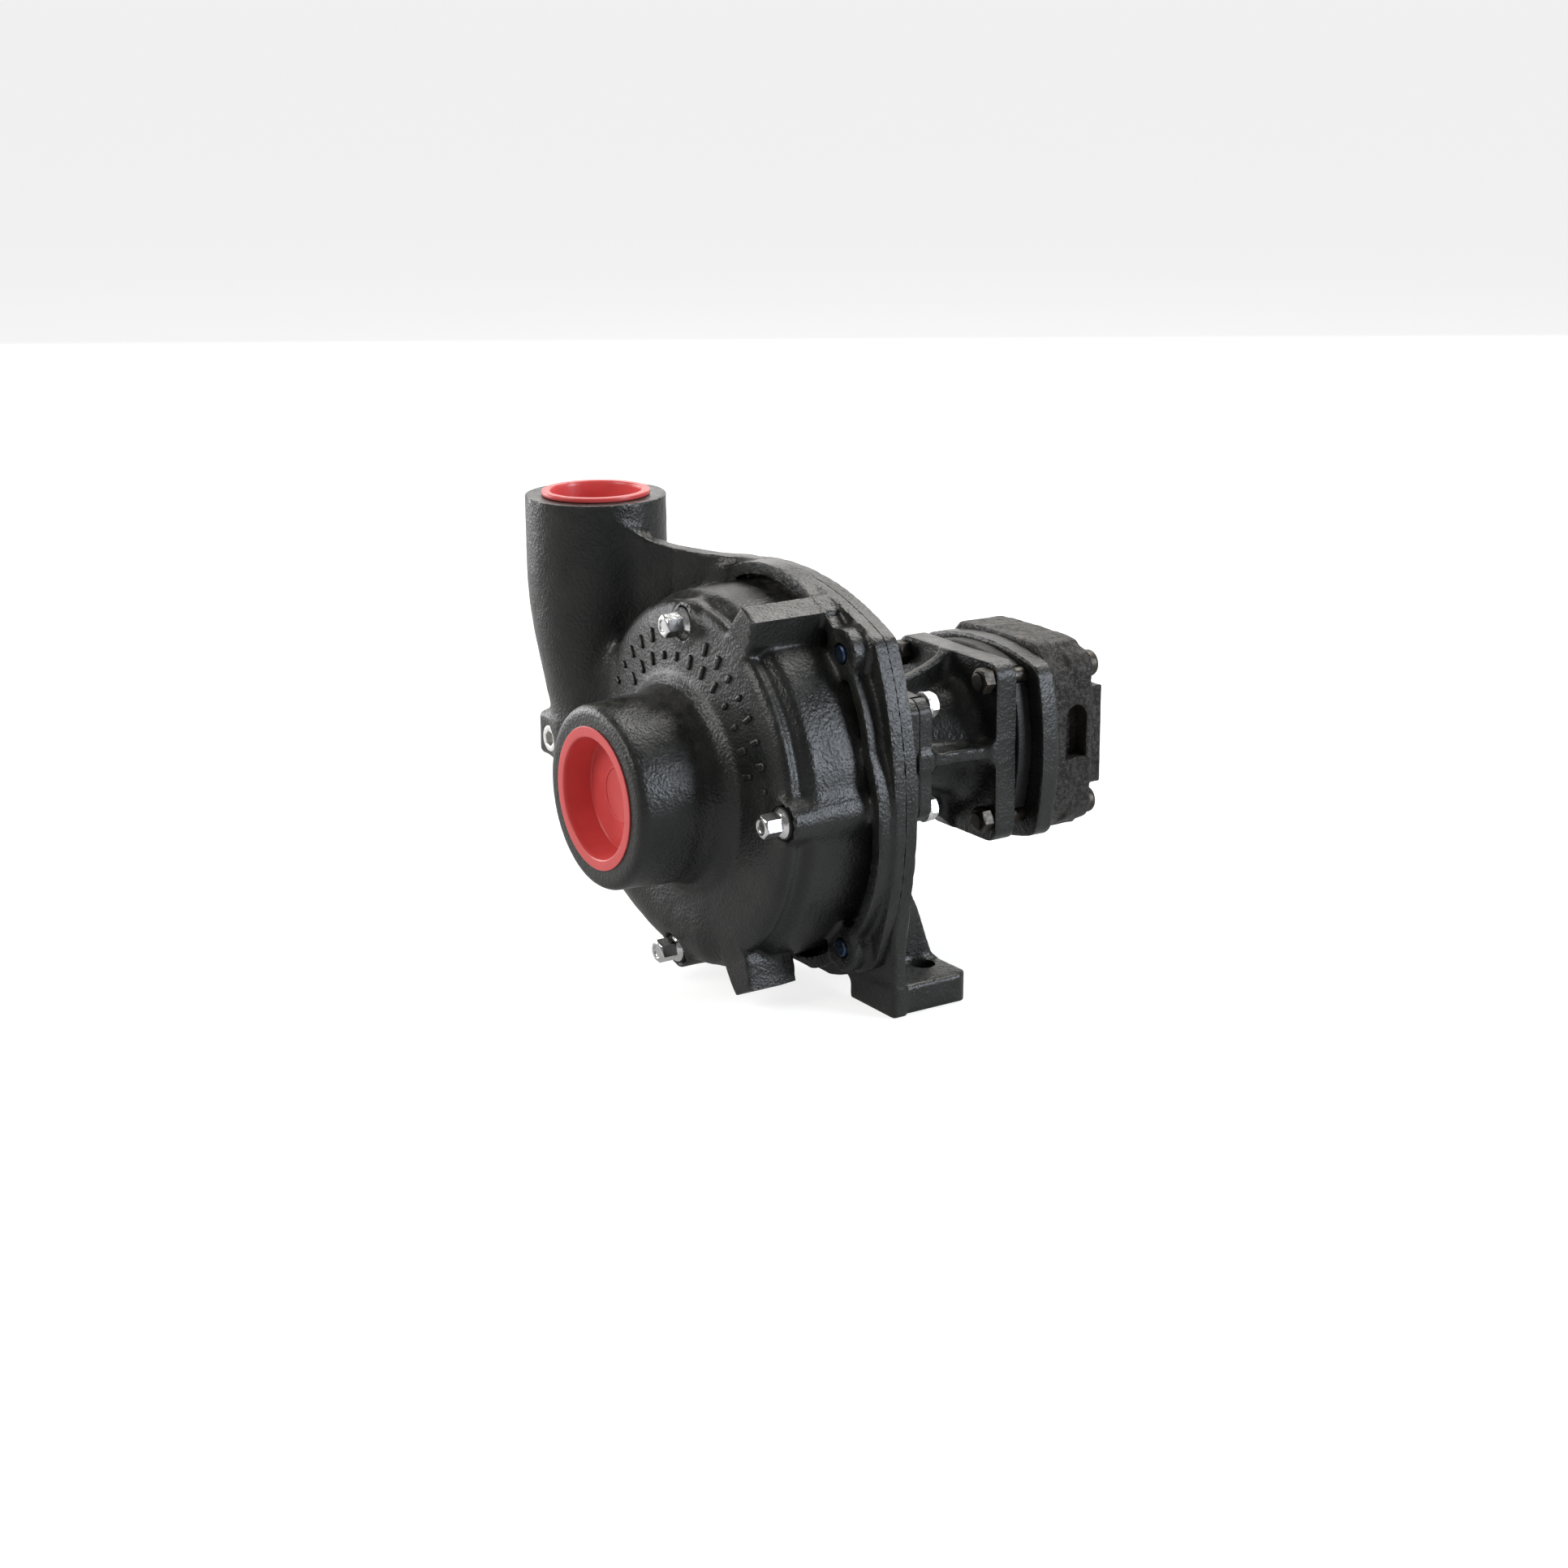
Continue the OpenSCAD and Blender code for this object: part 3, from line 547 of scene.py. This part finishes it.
def tube(x, y, z, shrink=0.0):
    """The volute: a tube that grows and moves outwards as it goes round under the shaft."""
    a = np.degrees(np.arctan2(z, x))
    a = np.where(a > 90, a - 360, a)
    t = np.clip((TUBE_FROM - a) / TUBE_SWEEP, 0, 1)
    r = 16 + 11 * t
    centre = BARREL_R + 1.5 + (REACH - BARREL_R - 1.5) * t ** 1.8 - r
    b = np.radians(TUBE_FROM - TUBE_SWEEP * t)
    dx, dz = x - centre * np.cos(b), z - centre * np.sin(b)
    return np.sqrt(dx ** 2 + dz ** 2 + (y - VOLUTE_Y) ** 2) - r + shrink


def neck(x, y, z, shrink=0.0, top=PORT_TOP):
    """The discharge neck leans and swells as it rises, then stands upright."""
    zc = np.maximum(z, -4)
    t = smin((zc + 4) / 67, 1.0, 0.3)
    cx, r = -91 - 13.35 * t, 27 + 6.6 * t - shrink
    d = np.sqrt((x - cx) ** 2 + (y - VOLUTE_Y) ** 2 + (z - zc) ** 2) - r
    return smax(d * 0.98, z - top, 1.2)


# The web's line seen from above, as (x, y, height of its top)
WEB = ((-76, -72, 106.5), (-66, -62, 99.0), (-57, -54, 95.8), (-44, -46, 94.6), (-28, -36, 94.0),
       (-20, -33, 93.6))


def web(x, y, z):
    """The curved wall that ties the discharge neck to the flange."""
    best, top = None, None
    for (x0, y0, h0), (x1, y1, h1) in zip(WEB[:-1], WEB[1:]):
        ex, ey = x1 - x0, y1 - y0
        t = np.clip(((x - x0) * ex + (y - y0) * ey) / (ex * ex + ey * ey), 0, 1)
        d = np.hypot(x - x0 - ex * t, y - y0 - ey * t)
        h = h0 + (h1 - h0) * t
        if best is None:
            best, top = d, h
        else:
            top = np.where(d < best, h, top)
            best = np.minimum(best, d)
    return smax(smax(best - 4.2, z - top, 1.2), 58 - z, 3)


def pad(x, y, z, angle, r, w, back):
    """A cast pad along the casing, its outer face towards angle."""
    a = math.radians(angle)
    u, v = x * math.cos(a) + z * math.sin(a), z * math.cos(a) - x * math.sin(a)
    d = outline(u, v, [[70, -w], [r - 12, -w], [r, 3 - w], [r, w - 3], [r - 12, w], [70, w]])
    return prism(d, y, -82, back, 1.1)


def flange_shape(x, z):
    """The outline that the casing's flange and the mounting flange share."""
    return bulged(x, z, 98.5, 95, 180, 111.5, 1.5)


def four_discs(x, z):
    """Distance to the nearest of four centres: the lip follows four overlapping arcs."""
    d = None
    for cx, cz in ((15, -8), (-8, -15), (-15, 8), (8, 15)):
        f = dist(x, z, cx, cz)
        d = f if d is None else np.minimum(d, f)
    return d


def casing(x, y, z):
    q = dist(x, z)
    d = smin(FRONT(q, y), tube(x, y, z), 9)
    d = smin(d, neck(x, y, z), 10)
    plate = smax(prism(flange_shape(x, z), y, -37, JOINT_Y, 0.7), FLANGE_FOOT - z, 1.5)
    lip = smax(prism(np.abs(four_discs(x, z) - 82.5 + 2.8) - 2.8, y, -44.5, -34, 0.9), -86 - z, 2)
    plate = smin(plate, lip, 2.2)
    for cx, cz in LUGS:
        plate = smin(plate, rod(x, y, z, cx, cz, 11.3, -45, -34, 1.3), 3)
    d = smin(d, plate, 3.5)
    for cx, cz in SCREWS:
        d = smin(d, rod(x, y, z, cx, cz, 9.6, -84, -36, 1.2), 4.5)
    d = smin(d, pad(x, y, z, 60, 100, 8.4, -38), 2.5)
    d = smin(d, pad(x, y, z, -64.5, 99.5, 9.8, -57), 2)
    d = smin(d, block(x, y, z, (-117, -98, -11), (-92, -74, 10.5), 3.2), 5)
    d = smin(d, web(x, y, z), 4.5)
    d = smin(d, NOZZLE_FACE(q, y), 0.5)
    d = np.minimum(d, smax(dist(x, y, NECK_X, VOLUTE_Y) - 33.4, np.maximum(z - PORT_TOP, 92 - z), 1.2))
    # Ports, chamber and passages
    d = cut(d, rod(x, y, z, 0, 0, 30, -140, -92, 0.3) - np.clip(-130.6 - y, 0, 2) * 0.7, 0.3)
    d = cut(d, rod(x, y, z, 0, 0, 27, -96, -78, 0.5), 1)
    d = cut(d, rod(x, y, z, 0, 0, 65, -80, -40, 1), 1)
    d = cut(d, rod(x, y, z, 0, 0, 82.05, -46.5, -20, 0.3), 0.4)
    hollow = smin(tube(x, y, z, 6), neck(x, y, z, 10, 140), 3)
    d = cut(d, hollow, 1)
    d = cut(d, smax(dist(x, y, NECK_X, VOLUTE_Y) - 24, 87.6 - z, 0.4), 0.4)
    for cx, cz in SCREWS:
        d = cut(d, rod(x, y, z, cx, cz, 7.7, -90, -82.8, 0.2), 0.5)
        d = cut(d, rod(x, y, z, cx, cz, 4.0, -90, -60, 0.2), 0.3)
    for cx, cz in LUGS:
        d = cut(d, rod(x, y, z, cx, cz, 4.9, -60, -20, 0.3), 0.8)
    return cut(d, rod(x, y, z, *PLUG, 6.6, -110, -88, 0.2), 0.6)


def casing_rough(x, y, z):
    """Machined faces stay flat: both port faces, the screw seats and the joint with the mounting flange."""
    flat = (y < -130) | (y > -32) | (z > 114.5) | (dist(x, z) < 31)
    for cx, cz in SCREWS:
        flat |= (dist(x, z, cx, cz) < 10.5) & (y < -80)
    return np.where(flat, 0.0, 1.0)


fine = 1.45
piece = carve("pump_casing", casing, (-142, -135, -99), (103, -27, 119), fine, M["black_casting"],
              0.13, 8.0, casing_rough)
settle(piece, "housing", "black_casting", "casing")


# ---------------------------------------------------------------- mounting flange with hub and feet
CONE = Lathe([[-20, -30], [46, -30], [42, -25.5], [40, -22], [32, 12], [32, 16], [-20, 16]], soft=1.2)
BORE = Lathe([[-20, -60], [31, -60], [31, -34], [21, -34], [21, -28], [14, -28], [14, -19], [24, -19],
              [24, -3], [23.6, -3], [23.6, 12], [24, 12], [24, 40], [-20, 40]])


def foot(x, y, z):
    """One foot, for both sides: upright leg, thick pad with a round hole, gusset."""
    ax = np.abs(x)
    leg = block(ax, y, z, (55, -31, -98), (90, -25, -36), 1.0)
    pad_d = block(ax, y, z, (55, -31, -98), (89, 11.6, -84.5), 2.2)
    corner = np.hypot(np.maximum(ax - 81, 0), np.maximum(y - 3.6, 0)) - 8
    d = smin(leg, smax(pad_d, corner, 0.8), 3)
    rib = outline(y, z, [[-28, -88], [10.2, -88], [9, -83], [0.5, -58], [-7, -42], [-17, -28],
                         [-28, -20]])
    rib = smax(rib, np.abs(ax - 59) - 3.6, 1.4)
    d = smin(d, rib, 3.5)
    return cut(d, dist(ax, y, 68, 0) - 5.5, 0.8)


def mounting(x, y, z):
    q = dist(x, z)
    plate = prism(flange_shape(x, z), y, JOINT_Y, PLATE_Y, 0.7)
    plate = smax(plate, FLANGE_FOOT - z, 1.5)
    legs = smin(plate, foot(x, y, z), 6)
    arch = smax(np.abs(x) - 55, z - FLANGE_FOOT, 16)
    legs = smax(legs, -arch, 1.5)
    legs = smax(legs, -SHAFT - z, 0.3)
    d = smin(legs, CONE(q, y), 7)
    hub_plate = prism(chamfered(x, z, 36, 30, 5), y, 13, 20, 0.8)
    d = smin(d, hub_plate, 4)
    for sx in (-1, 1):
        rib = smax(np.abs(z) - 3, np.abs(x - sx * 34) - 8, 1)
        d = smin(d, prism(rib, y, -26, 14, 1), 4)
    spigot = rod(x, y, z, 0, 0, 82, -46, -28, 0.6)
    d = np.minimum(d, spigot)
    for cx, cz in LUGS:
        w = dist(x, z, cx, cz)
        sunk = smax((w - 9.2 - (y - PLATE_Y)) * 0.74, y + 24, 0.2)
        d = cut(d, np.minimum(np.maximum(w - 5.6, y + 24), sunk), 0.3)
    return cut(d, BORE(q, y), 0.3)


def mounting_rough(x, y, z):
    """The joint, the hub's end face and the feet's undersides are machined."""
    return np.where((y < -30) | (y > 19) | (z < -97), 0.0, 1.0)


piece = carve("pump_mounting_flange", mounting, (-103, -49, -101), (103, 24, 99), fine, M["black_casting"],
              0.12, 8.0, mounting_rough)
settle(piece, "housing", "black_casting", "mounting_flange")


# ---------------------------------------------------------------- motor adapter
def adapter(x, y, z):
    q = dist(x, z)
    plate = prism(chamfered(x, z, 36, 30, 5), y, 20, 27.5, 0.9)
    cone = prism(q - 17 - 12 * np.clip((y - 27) / 34, 0, 1), y, 20, 66, 0.5)
    d = smin(plate, cone, 5)
    t = np.clip((y - 27) / 34, 0, 1)
    side = smax(np.abs(z) - 3, np.abs(x) - 36 - 4 * t ** 2, 1.6)
    upright = smax(np.abs(x) - 3, np.abs(z + 0.6 * t) - 31 - 11 * t ** 1.6, 1.6)
    ribs = smax(np.minimum(side, upright), np.abs(y - 44) - 24, 1)
    d = smin(d, ribs, 5)
    flange = prism(chamfered(x, z + 1.5, 40.5, 44, 4.4, 2.5), y, 61.5, 73, 1.0)
    d = smin(d, flange, 6.5)
    d = smax(d, chamfered(x, z + 1.5, 40.5, 44, 4.4, 2.5), 0.8)
    d = smax(d, y - 73, 0.8)
    d = cut(d, rod(x, y, z, 0, 0, 13, 0, 90, 0.3), 0.4)
    d = cut(d, rod(x, y, z, 0, 0, 23.6, 58, 90, 0.3), 0.4)
    for motor, hub in zip(MOTOR_BOLTS, ADAPTER_BOLTS):
        d = cut(d, rod(x, y, z, *motor, 8.6, 40, 61, 0.4), 1.2)
        d = cut(d, rod(x, y, z, *motor, BOLT_HOLE_R, 50, 90, 0.2), 0.3)
        d = cut(d, rod(x, y, z, *hub, 7.6, 27.5, 42, 0.4), 1.2)
        d = cut(d, rod(x, y, z, *hub, BOLT_HOLE_R, 0, 42, 0.2), 0.3)
    return d


medium = 1.1
piece = carve("pump_motor_adapter", adapter, (-44, 17, -49), (44, 76, 46), medium, M["black_casting"],
              0.1, 6.0, lambda x, y, z: np.where((y > 72) | (y < 21), 0.0, 1.0))
settle(piece, "housing", "black_casting", "motor_adapter")


# ---------------------------------------------------------------- gear motor
GEAR_AXES = (0, -26.4)
PORTS_X = (-22, 22)


def bolt_holes(d, x, z):
    """Takes the four motor bolts' holes out of the whole length of a piece."""
    for cx, cz in MOTOR_BOLTS:
        d = cut(d, dist(x, z, cx, cz) - BOLT_HOLE_R, 0.3)
    return d


def front_plate(x, y, z):
    d = prism(bulged(x, z, 42, 43.5, 102, 54, 3), y, 73.15, 80.85, 0.7)
    d = bolt_holes(d, x, z)
    d = cut(d, rod(x, y, z, 0, 0, 9.2, 0, 200, 0.1), 0.2)
    d = cut(d, rod(x, y, z, 0, 0, 16, 0, 78, 0.1), 0.2)
    for cz in GEAR_AXES:
        d = cut(d, rod(x, y, z, 0, cz, 11.05, 75, 200, 0.1), 0.2)
    return d


def gear_housing(x, y, z):
    d = prism(bulged(x, z + 2.3, 50.5, 47.8, 150, 62, 4), y, 81.1, 90.9, 1.1)
    d = bolt_holes(d, x, z)
    for cz in GEAR_AXES:
        d = cut(d, rod(x, y, z, 0, cz, 15.4, 0, 200, 0.1), 0.2)
    return cut(d, block(x, y, z, (-20.5, 0, -18), (20.5, 200, -5), 0.5), 0.2)


def rear_cover(x, y, z):
    d = chamfered(x, z, 43.5, 47, 14, 1.2)
    d = smax(d, bulged(x, z, 44.5, 47.3, 320, 62, 1.5), 1)
    d = prism(d, y, 91.1, 116, 1.3)
    band = smax(prism(np.maximum(np.abs(x) - 40, np.abs(z) - 24), y, 100, 125, 1.8), -1.0, 0.1)
    d = smin(d, band, 4)
    for bolt in MOTOR_BOLTS:
        d = smin(d, rod(x, y, z, *bolt, 7.8, 104, 117.2, 0.8), 3)
        d = cut(d, rod(x, y, z, *bolt, 6.9, 116, 130, 0.3), 0.5)
        d = cut(d, rod(x, y, z, *bolt, BOLT_HOLE_R, 0, 130, 0.3), 0.3)
    slot_d = np.maximum(np.abs(y - 107) - 6, np.maximum(z - 11, -9 - z))
    slot_d = np.minimum(slot_d, smax(np.hypot(y - 107, z - 11) - 6, 10 - z, 0.2))
    d = cut(d, smax(slot_d, 35 - x, 0.6), 1.0)
    for cz in GEAR_AXES:
        d = cut(d, rod(x, y, z, 0, cz, 11.05, 0, 100, 0.1), 0.2)
    for cx in PORTS_X:
        d = cut(d, rod(x, y, z, cx, 0, 9, 107, 200, 0.2), 1.0)
        d = cut(d, rod(x, y, z, cx, 0, 12.5, 123.6, 200, 0.2), 0.5)
    return d


piece = carve("motor_front_plate", front_plate, (-46, 70, -47), (46, 84, 47), medium, M["dark_plate"],
              0.06, 6)
settle(piece, "housing", "dark_plate", "front_plate")
piece = carve("motor_gear_housing", gear_housing, (-54, 78, -54), (54, 94, 49), medium, M["black_casting"],
              0.1, 6)
settle(piece, "housing", "black_casting", "gear_housing")
piece = carve("motor_rear_cover", rear_cover, (-48, 88, -51), (48, 128, 51), medium, M["rough_casting"],
              0.32, 4.5, lambda x, y, z: np.where((y < 92) | (y > 124), 0.2, 1.0))
settle(piece, "housing", "rough_casting", "rear_cover")


# ---------------------------------------------------------------- fasteners
def hex_head(x, y, z, y0, y1, across, turn=0.0, rise=1.6):
    """A hexagonal head between y0 and y1, its front corners turned off; y0 is the free end."""
    d = prism(hexagon(x, z, across, turn), y, min(y0, y1), max(y0, y1), 0.35)
    way = 1 if y1 > y0 else -1
    corner = across / math.sqrt(3)
    cone = (dist(x, z) - corner + rise * 0.9 - way * (y - y0) * 1.6) * 0.53
    return smax(d, cone, 0.3)


def flanged_screw(x, y, z):
    q = dist(x, z)
    d = hex_head(x, y, z, -95.5, -86, 9.5, 12)
    flange = prism(q - 7.0 + np.clip(-84.9 - y, 0, 3) * 0.9, y, -86.8, -85, 0.3)
    d = smin(d, flange, 0.8)
    d = cut(d, rod(x, y, z, 0, 0, 2.9, -99, -94.9, 0.1), 0.5)
    shank = rod(x, y, z, 0, 0, 3.95, -85.5, -62, 0.4)
    thread = np.abs(((y + 84) / 1.25) % 1.0 - 0.5) * 0.5 * (y > -83)
    return smin(d, np.maximum(shank, q - 3.95 + thread), 0.3)


small = 0.42


def fasteners(name, field, reach, y0, y1, places, material, node):
    """One fastener cut from a field about its own axis and repeated at its places."""
    v, f = contour(field, (-reach, y0, -reach), (reach, y1, reach), small)
    v, f = copies(v, f, places)
    return settle(mesh_object(name, v, f, M[material], 35), "housing", material, node)


fasteners("screws_front", flanged_screw, 9, -98, -60, SCREWS, "bright_steel", "front_screws")


def sealing_ring(x, y, z):
    q = dist(x, z)
    return np.hypot(np.maximum(np.abs(q - 5.9) - 1.1, 0), np.maximum(np.abs(y + 83.9) - 0.75, 0)) - 0.42


fasteners("rings_front", sealing_ring, 9, -87, -81, SCREWS, "black_rubber", "front_washers")


def flange_screw(x, y, z):
    """A flat-headed screw from behind; its tip shows in the casing's lug."""
    q = dist(x, z)
    thread = np.abs((y / 1.5) % 1.0 - 0.5) * 0.6
    d = smax(smax(q - 4.3 + thread, -46 - y, 0.3), y + 28, 0.3)
    d = smax(d, (q - 3.5 - (y + 46) * 1.0) * 0.7, 0.2)
    head = smax((q - 8.9 - (y + 25)) * 0.74, np.abs(y + 27.4) - 2.4, 0.2)
    return cut(smin(d, head, 0.3), prism(hexagon(x, z, 6, 10), y, -28, -20, 0.1), 0.3)


fasteners("screws_flange", flange_screw, 10, -48, -23, LUGS, "blued_steel", "flange_bolts")


def lock_washer(y0, y1, r_out, r_in):
    """A split spring washer."""
    def field(x, y, z):
        q = dist(x, z)
        d = prism(np.abs(q - (r_out + r_in) / 2) - (r_out - r_in) / 2, y, y0, y1, 0.25)
        gap = np.maximum(np.abs(x + (y - y0) * 0.5) - 0.5, -z)
        return cut(d, gap, 0.1)
    return field


def adapter_bolt(x, y, z):
    q = dist(x, z)
    thread = np.abs((y / 1.25) % 1.0 - 0.5) * 0.5
    d = smax(smax(q - 4 + thread, 9.5 - y, 0.4), y - 30, 0.3)
    return smin(d, hex_head(x, y, z, 34.2, 29.5, 10.8, 20), 0.3)


fasteners("bolts_adapter", adapter_bolt, 9, 7, 37, ADAPTER_BOLTS, "zinc_steel", "adapter_bolts")
fasteners("washers_adapter", lock_washer(27.5, 29.5, 6.5, 4.2), 9, 25.5, 31.5, ADAPTER_BOLTS, "zinc_steel",
          "adapter_washers")


def motor_bolt(x, y, z):
    q = dist(x, z)
    thread = np.abs((y / 1.25) % 1.0 - 0.5) * 0.5 * (y < 66)
    d = smax(smax(q - 4 + thread, 54 - y, 0.5), y - 117, 0.3)
    head = smax(prism(q - 6.5, y, 116, 124, 0.8), np.sqrt(q * q + (y - 114.5) ** 2) - 9.6, 0.8)
    head = cut(head, prism(hexagon(x, z, 6, 10), y, 120.5, 130, 0.1), 0.4)
    return smin(d, head, 0.4)


fasteners("bolts_motor", motor_bolt, 9, 52, 126, MOTOR_BOLTS, "black_steel", "motor_bolts")


def motor_nut(x, y, z):
    d = hex_head(x, y, z, 55, 61, 11, 25)
    return cut(d, rod(x, y, z, 0, 0, 4.05, 40, 80, 0.1), 0.6)


fasteners("nuts_motor", motor_nut, 9, 53, 63, MOTOR_BOLTS, "black_steel", "motor_nuts")


def plug(x, y, z):
    d = rod(x, y, z, 0, 0, 6.5, -98.6, -88, 0.7)
    return cut(d, prism(hexagon(x, z, 6.6, 15), y, -110, -92, 0.1), 0.7)


fasteners("plug_casing", plug, 8, -101, -86, (PLUG,), "zinc_steel", "vent_plug")


# ---------------------------------------------------------------- shipping caps
def rounded(profile, radius, parts=5):
    """An open profile with each inner corner replaced by an arc."""
    out = [profile[0]]
    for a, b, c in zip(profile[:-2], profile[1:-1], profile[2:]):
        a, b, c = (np.array(p, float) for p in (a, b, c))
        u, v = a - b, c - b
        lu, lv = np.linalg.norm(u), np.linalg.norm(v)
        r = min(radius, lu * 0.45, lv * 0.45)
        p, q = b + u / lu * r, b + v / lv * r
        for k in range(parts + 1):
            t = k / parts
            out.append(tuple(p * (1 - t) ** 2 + b * 2 * t * (1 - t) + q * t * t))
    out.append(profile[-1])
    return out


def spin(profile, parts=160):
    """A closed surface from [radius, height] points, whose first and last points lie on the axis."""
    ring = profile[1:-1]
    verts = [(0, 0, profile[0][1])]
    for r, h in ring:
        for k in range(parts):
            a = 2 * math.pi * k / parts
            verts.append((r * math.cos(a), r * math.sin(a), h))
    verts.append((0, 0, profile[-1][1]))
    faces = []
    for k in range(parts):
        j = (k + 1) % parts
        faces.append((0, 1 + j, 1 + k, 0))
        for i in range(len(ring) - 1):
            a, b = 1 + i * parts, 1 + (i + 1) * parts
            faces.append((a + k, a + j, b + j, b + k))
        last = 1 + (len(ring) - 1) * parts
        faces.append((last + k, last + j, len(verts) - 1, len(verts) - 1))
    return np.array(verts), faces


def cap(name, r, depth, lip_r, lip_t, place, turn, body):
    """A push-in cap: a thin cup with a rolled lip and a faint ring moulded in its floor."""
    wall, floor = 2.2, 2.0
    profile = [(0, -depth), (r - 1.2, -depth), (r, -0.6), (r + 0.1, -0.02), (lip_r, -0.02), (lip_r, lip_t),
               (r - 1.7, lip_t), (r - wall, lip_t - 1.4), (r - wall - 1.2, floor - depth),
               (r * 0.45, floor - depth), (r * 0.45, floor - depth + 0.5), (r * 0.4, floor - depth + 0.5),
               (r * 0.4, floor - depth), (0, floor - depth)]
    verts, faces = spin(rounded(profile, 0.8))
    mesh = bpy.data.meshes.new(name)
    mesh.from_pydata([Vector(v) * MM for v in verts.tolist()], [],
                     [tuple(dict.fromkeys(f)) for f in faces])
    mesh.validate()
    mesh.shade_smooth()
    mesh.set_sharp_from_angle(angle=math.radians(50))
    mesh.transform(Matrix.Translation(Vector(place) * MM) @ Matrix.Rotation(turn, 4, "X"))
    mesh.materials.append(M["red_plastic"])
    obj = bpy.data.objects.new(name, mesh)
    bpy.context.scene.collection.objects.link(obj)
    return settle(obj, body, "red_plastic", body)


cap("cap_suction", 29.7, 15, 32.8, 0.8, (0, -132, SHAFT), math.pi / 2, "suction_cap")
cap("cap_discharge", 23.7, 20, 25.9, 2.2, (NECK_X, VOLUTE_Y, SHAFT + PORT_TOP), 0, "discharge_cap")


# ---------------------------------------------------------------- generic foundry marks in place of lettering
def marks():
    """Plain raised dashes and dots in two arcs on the front disc, as a neutral casting pattern."""
    shapes = ((2.6, 1.15), (1.2, 1.2), (2.2, 1.7), (2.6, 1.0), (1.3, 1.3))
    rows = []
    for radius, first, last, pitch in ((69, 10, 76, 9), (69, 104, 150, 9), (58.5, 16, 140, 11)):
        for k, a in enumerate(np.arange(first, last, pitch)):
            rows.append((radius, a, *shapes[(k * 3 + radius) % 5 if radius > 60 else (k * 2) % 5]))
    return rows


def mark_field(x, y, z):
    q = dist(x, z)
    surface = -87.25 + (q - 50) * 0.113
    d = None
    for r, a, half, thick in marks():
        a = math.radians(a)
        u = x * math.cos(a) + z * math.sin(a) - r
        v = z * math.cos(a) - x * math.sin(a)
        f = np.hypot(np.maximum(np.abs(u) - half + 0.4, 0), v) - thick
        d = f if d is None else np.minimum(d, f)
    height = surface - 1.25 - y
    return smax(smax(d * 0.9, height, 0.9), y - surface - 2.0, 0.4)


piece = carve("casing_marks", mark_field, (-72, -92, 2), (78, -80, 78), 0.6,
              M["black_casting"], 0.05, 2.0)
settle(piece, "housing", "black_casting")


# ---------------------------------------------------------------- floor, lights, world
def seen_brighter(tree, seen, cast):
    """A strength that is higher where it is seen directly than where it lights the pump."""
    path = tree.nodes.new("ShaderNodeLightPath")
    scale = tree.nodes.new("ShaderNodeMath")
    scale.operation = "MULTIPLY_ADD"
    tree.links.new(path.outputs["Is Camera Ray"], scale.inputs[0])
    scale.inputs[1].default_value, scale.inputs[2].default_value = seen - cast, cast
    return scale.outputs[0]


floor = mesh_object("floor", [(-60000, -60000, 0), (60000, -60000, 0), (60000, 60000, 0), (-60000, 60000, 0)],
                    [(0, 1, 2, 3)], Nodes("floor").material, shift=(0, 0, -0.3))
floor_tree = floor.data.materials[0].node_tree
floor_shader = floor_tree.nodes["Principled BSDF"]
floor_shader.inputs["Base Color"].default_value = (0.42, 0.42, 0.42, 1)
floor_shader.inputs["Roughness"].default_value = 0.85
floor_shader.inputs["Specular IOR Level"].default_value = 0.1
floor_shader.inputs["Emission Color"].default_value = (1, 1, 1, 1)
floor_tree.links.new(seen_brighter(floor_tree, 0.8, 0.15), floor_shader.inputs["Emission Strength"])


def area_light(name, place, width, height, glow, colour):
    """A soft box; glow is how bright its face is."""
    data = bpy.data.lights.new(name, "AREA")
    data.shape, data.size, data.size_y = "RECTANGLE", width, height
    data.energy, data.color = glow * math.pi * width * height, colour
    obj = bpy.data.objects.new(name, data)
    bpy.context.scene.collection.objects.link(obj)
    obj.location = place
    obj.rotation_mode = "QUATERNION"
    obj.rotation_quaternion = (Vector((0, -0.02, 0.1)) - Vector(place)).to_track_quat("-Z", "Y")
    obj.visible_camera = False


area_light("light_top", (-0.26, 0.84, 1.45), 1.1, 0.7, 7, (1.0, 0.985, 0.95))
area_light("light_right", (1.45, 0.98, 0.66), 0.42, 0.9, 18, (0.86, 0.91, 1.0))
area_light("light_back", (-1.7, 1.1, 0.75), 2.4, 1.4, 1.6, (1.0, 0.985, 0.96))
area_light("light_left", (-1.6, -0.7, 0.45), 1.2, 1.0, 5, (1.0, 0.98, 1.0))
area_light("light_front", (-0.35, -1.75, 1.15), 1.0, 0.8, 7, (1.0, 0.98, 0.95))

world = bpy.data.worlds.new("studio")
bpy.context.scene.world = world
world.use_nodes = True
backdrop = world.node_tree.nodes["Background"]
backdrop.inputs["Color"].default_value = (1, 1, 1, 1)
world.node_tree.links.new(seen_brighter(world.node_tree, 1.0, 0.16), backdrop.inputs["Strength"])
bpy.context.scene.view_settings.view_transform = "Standard"
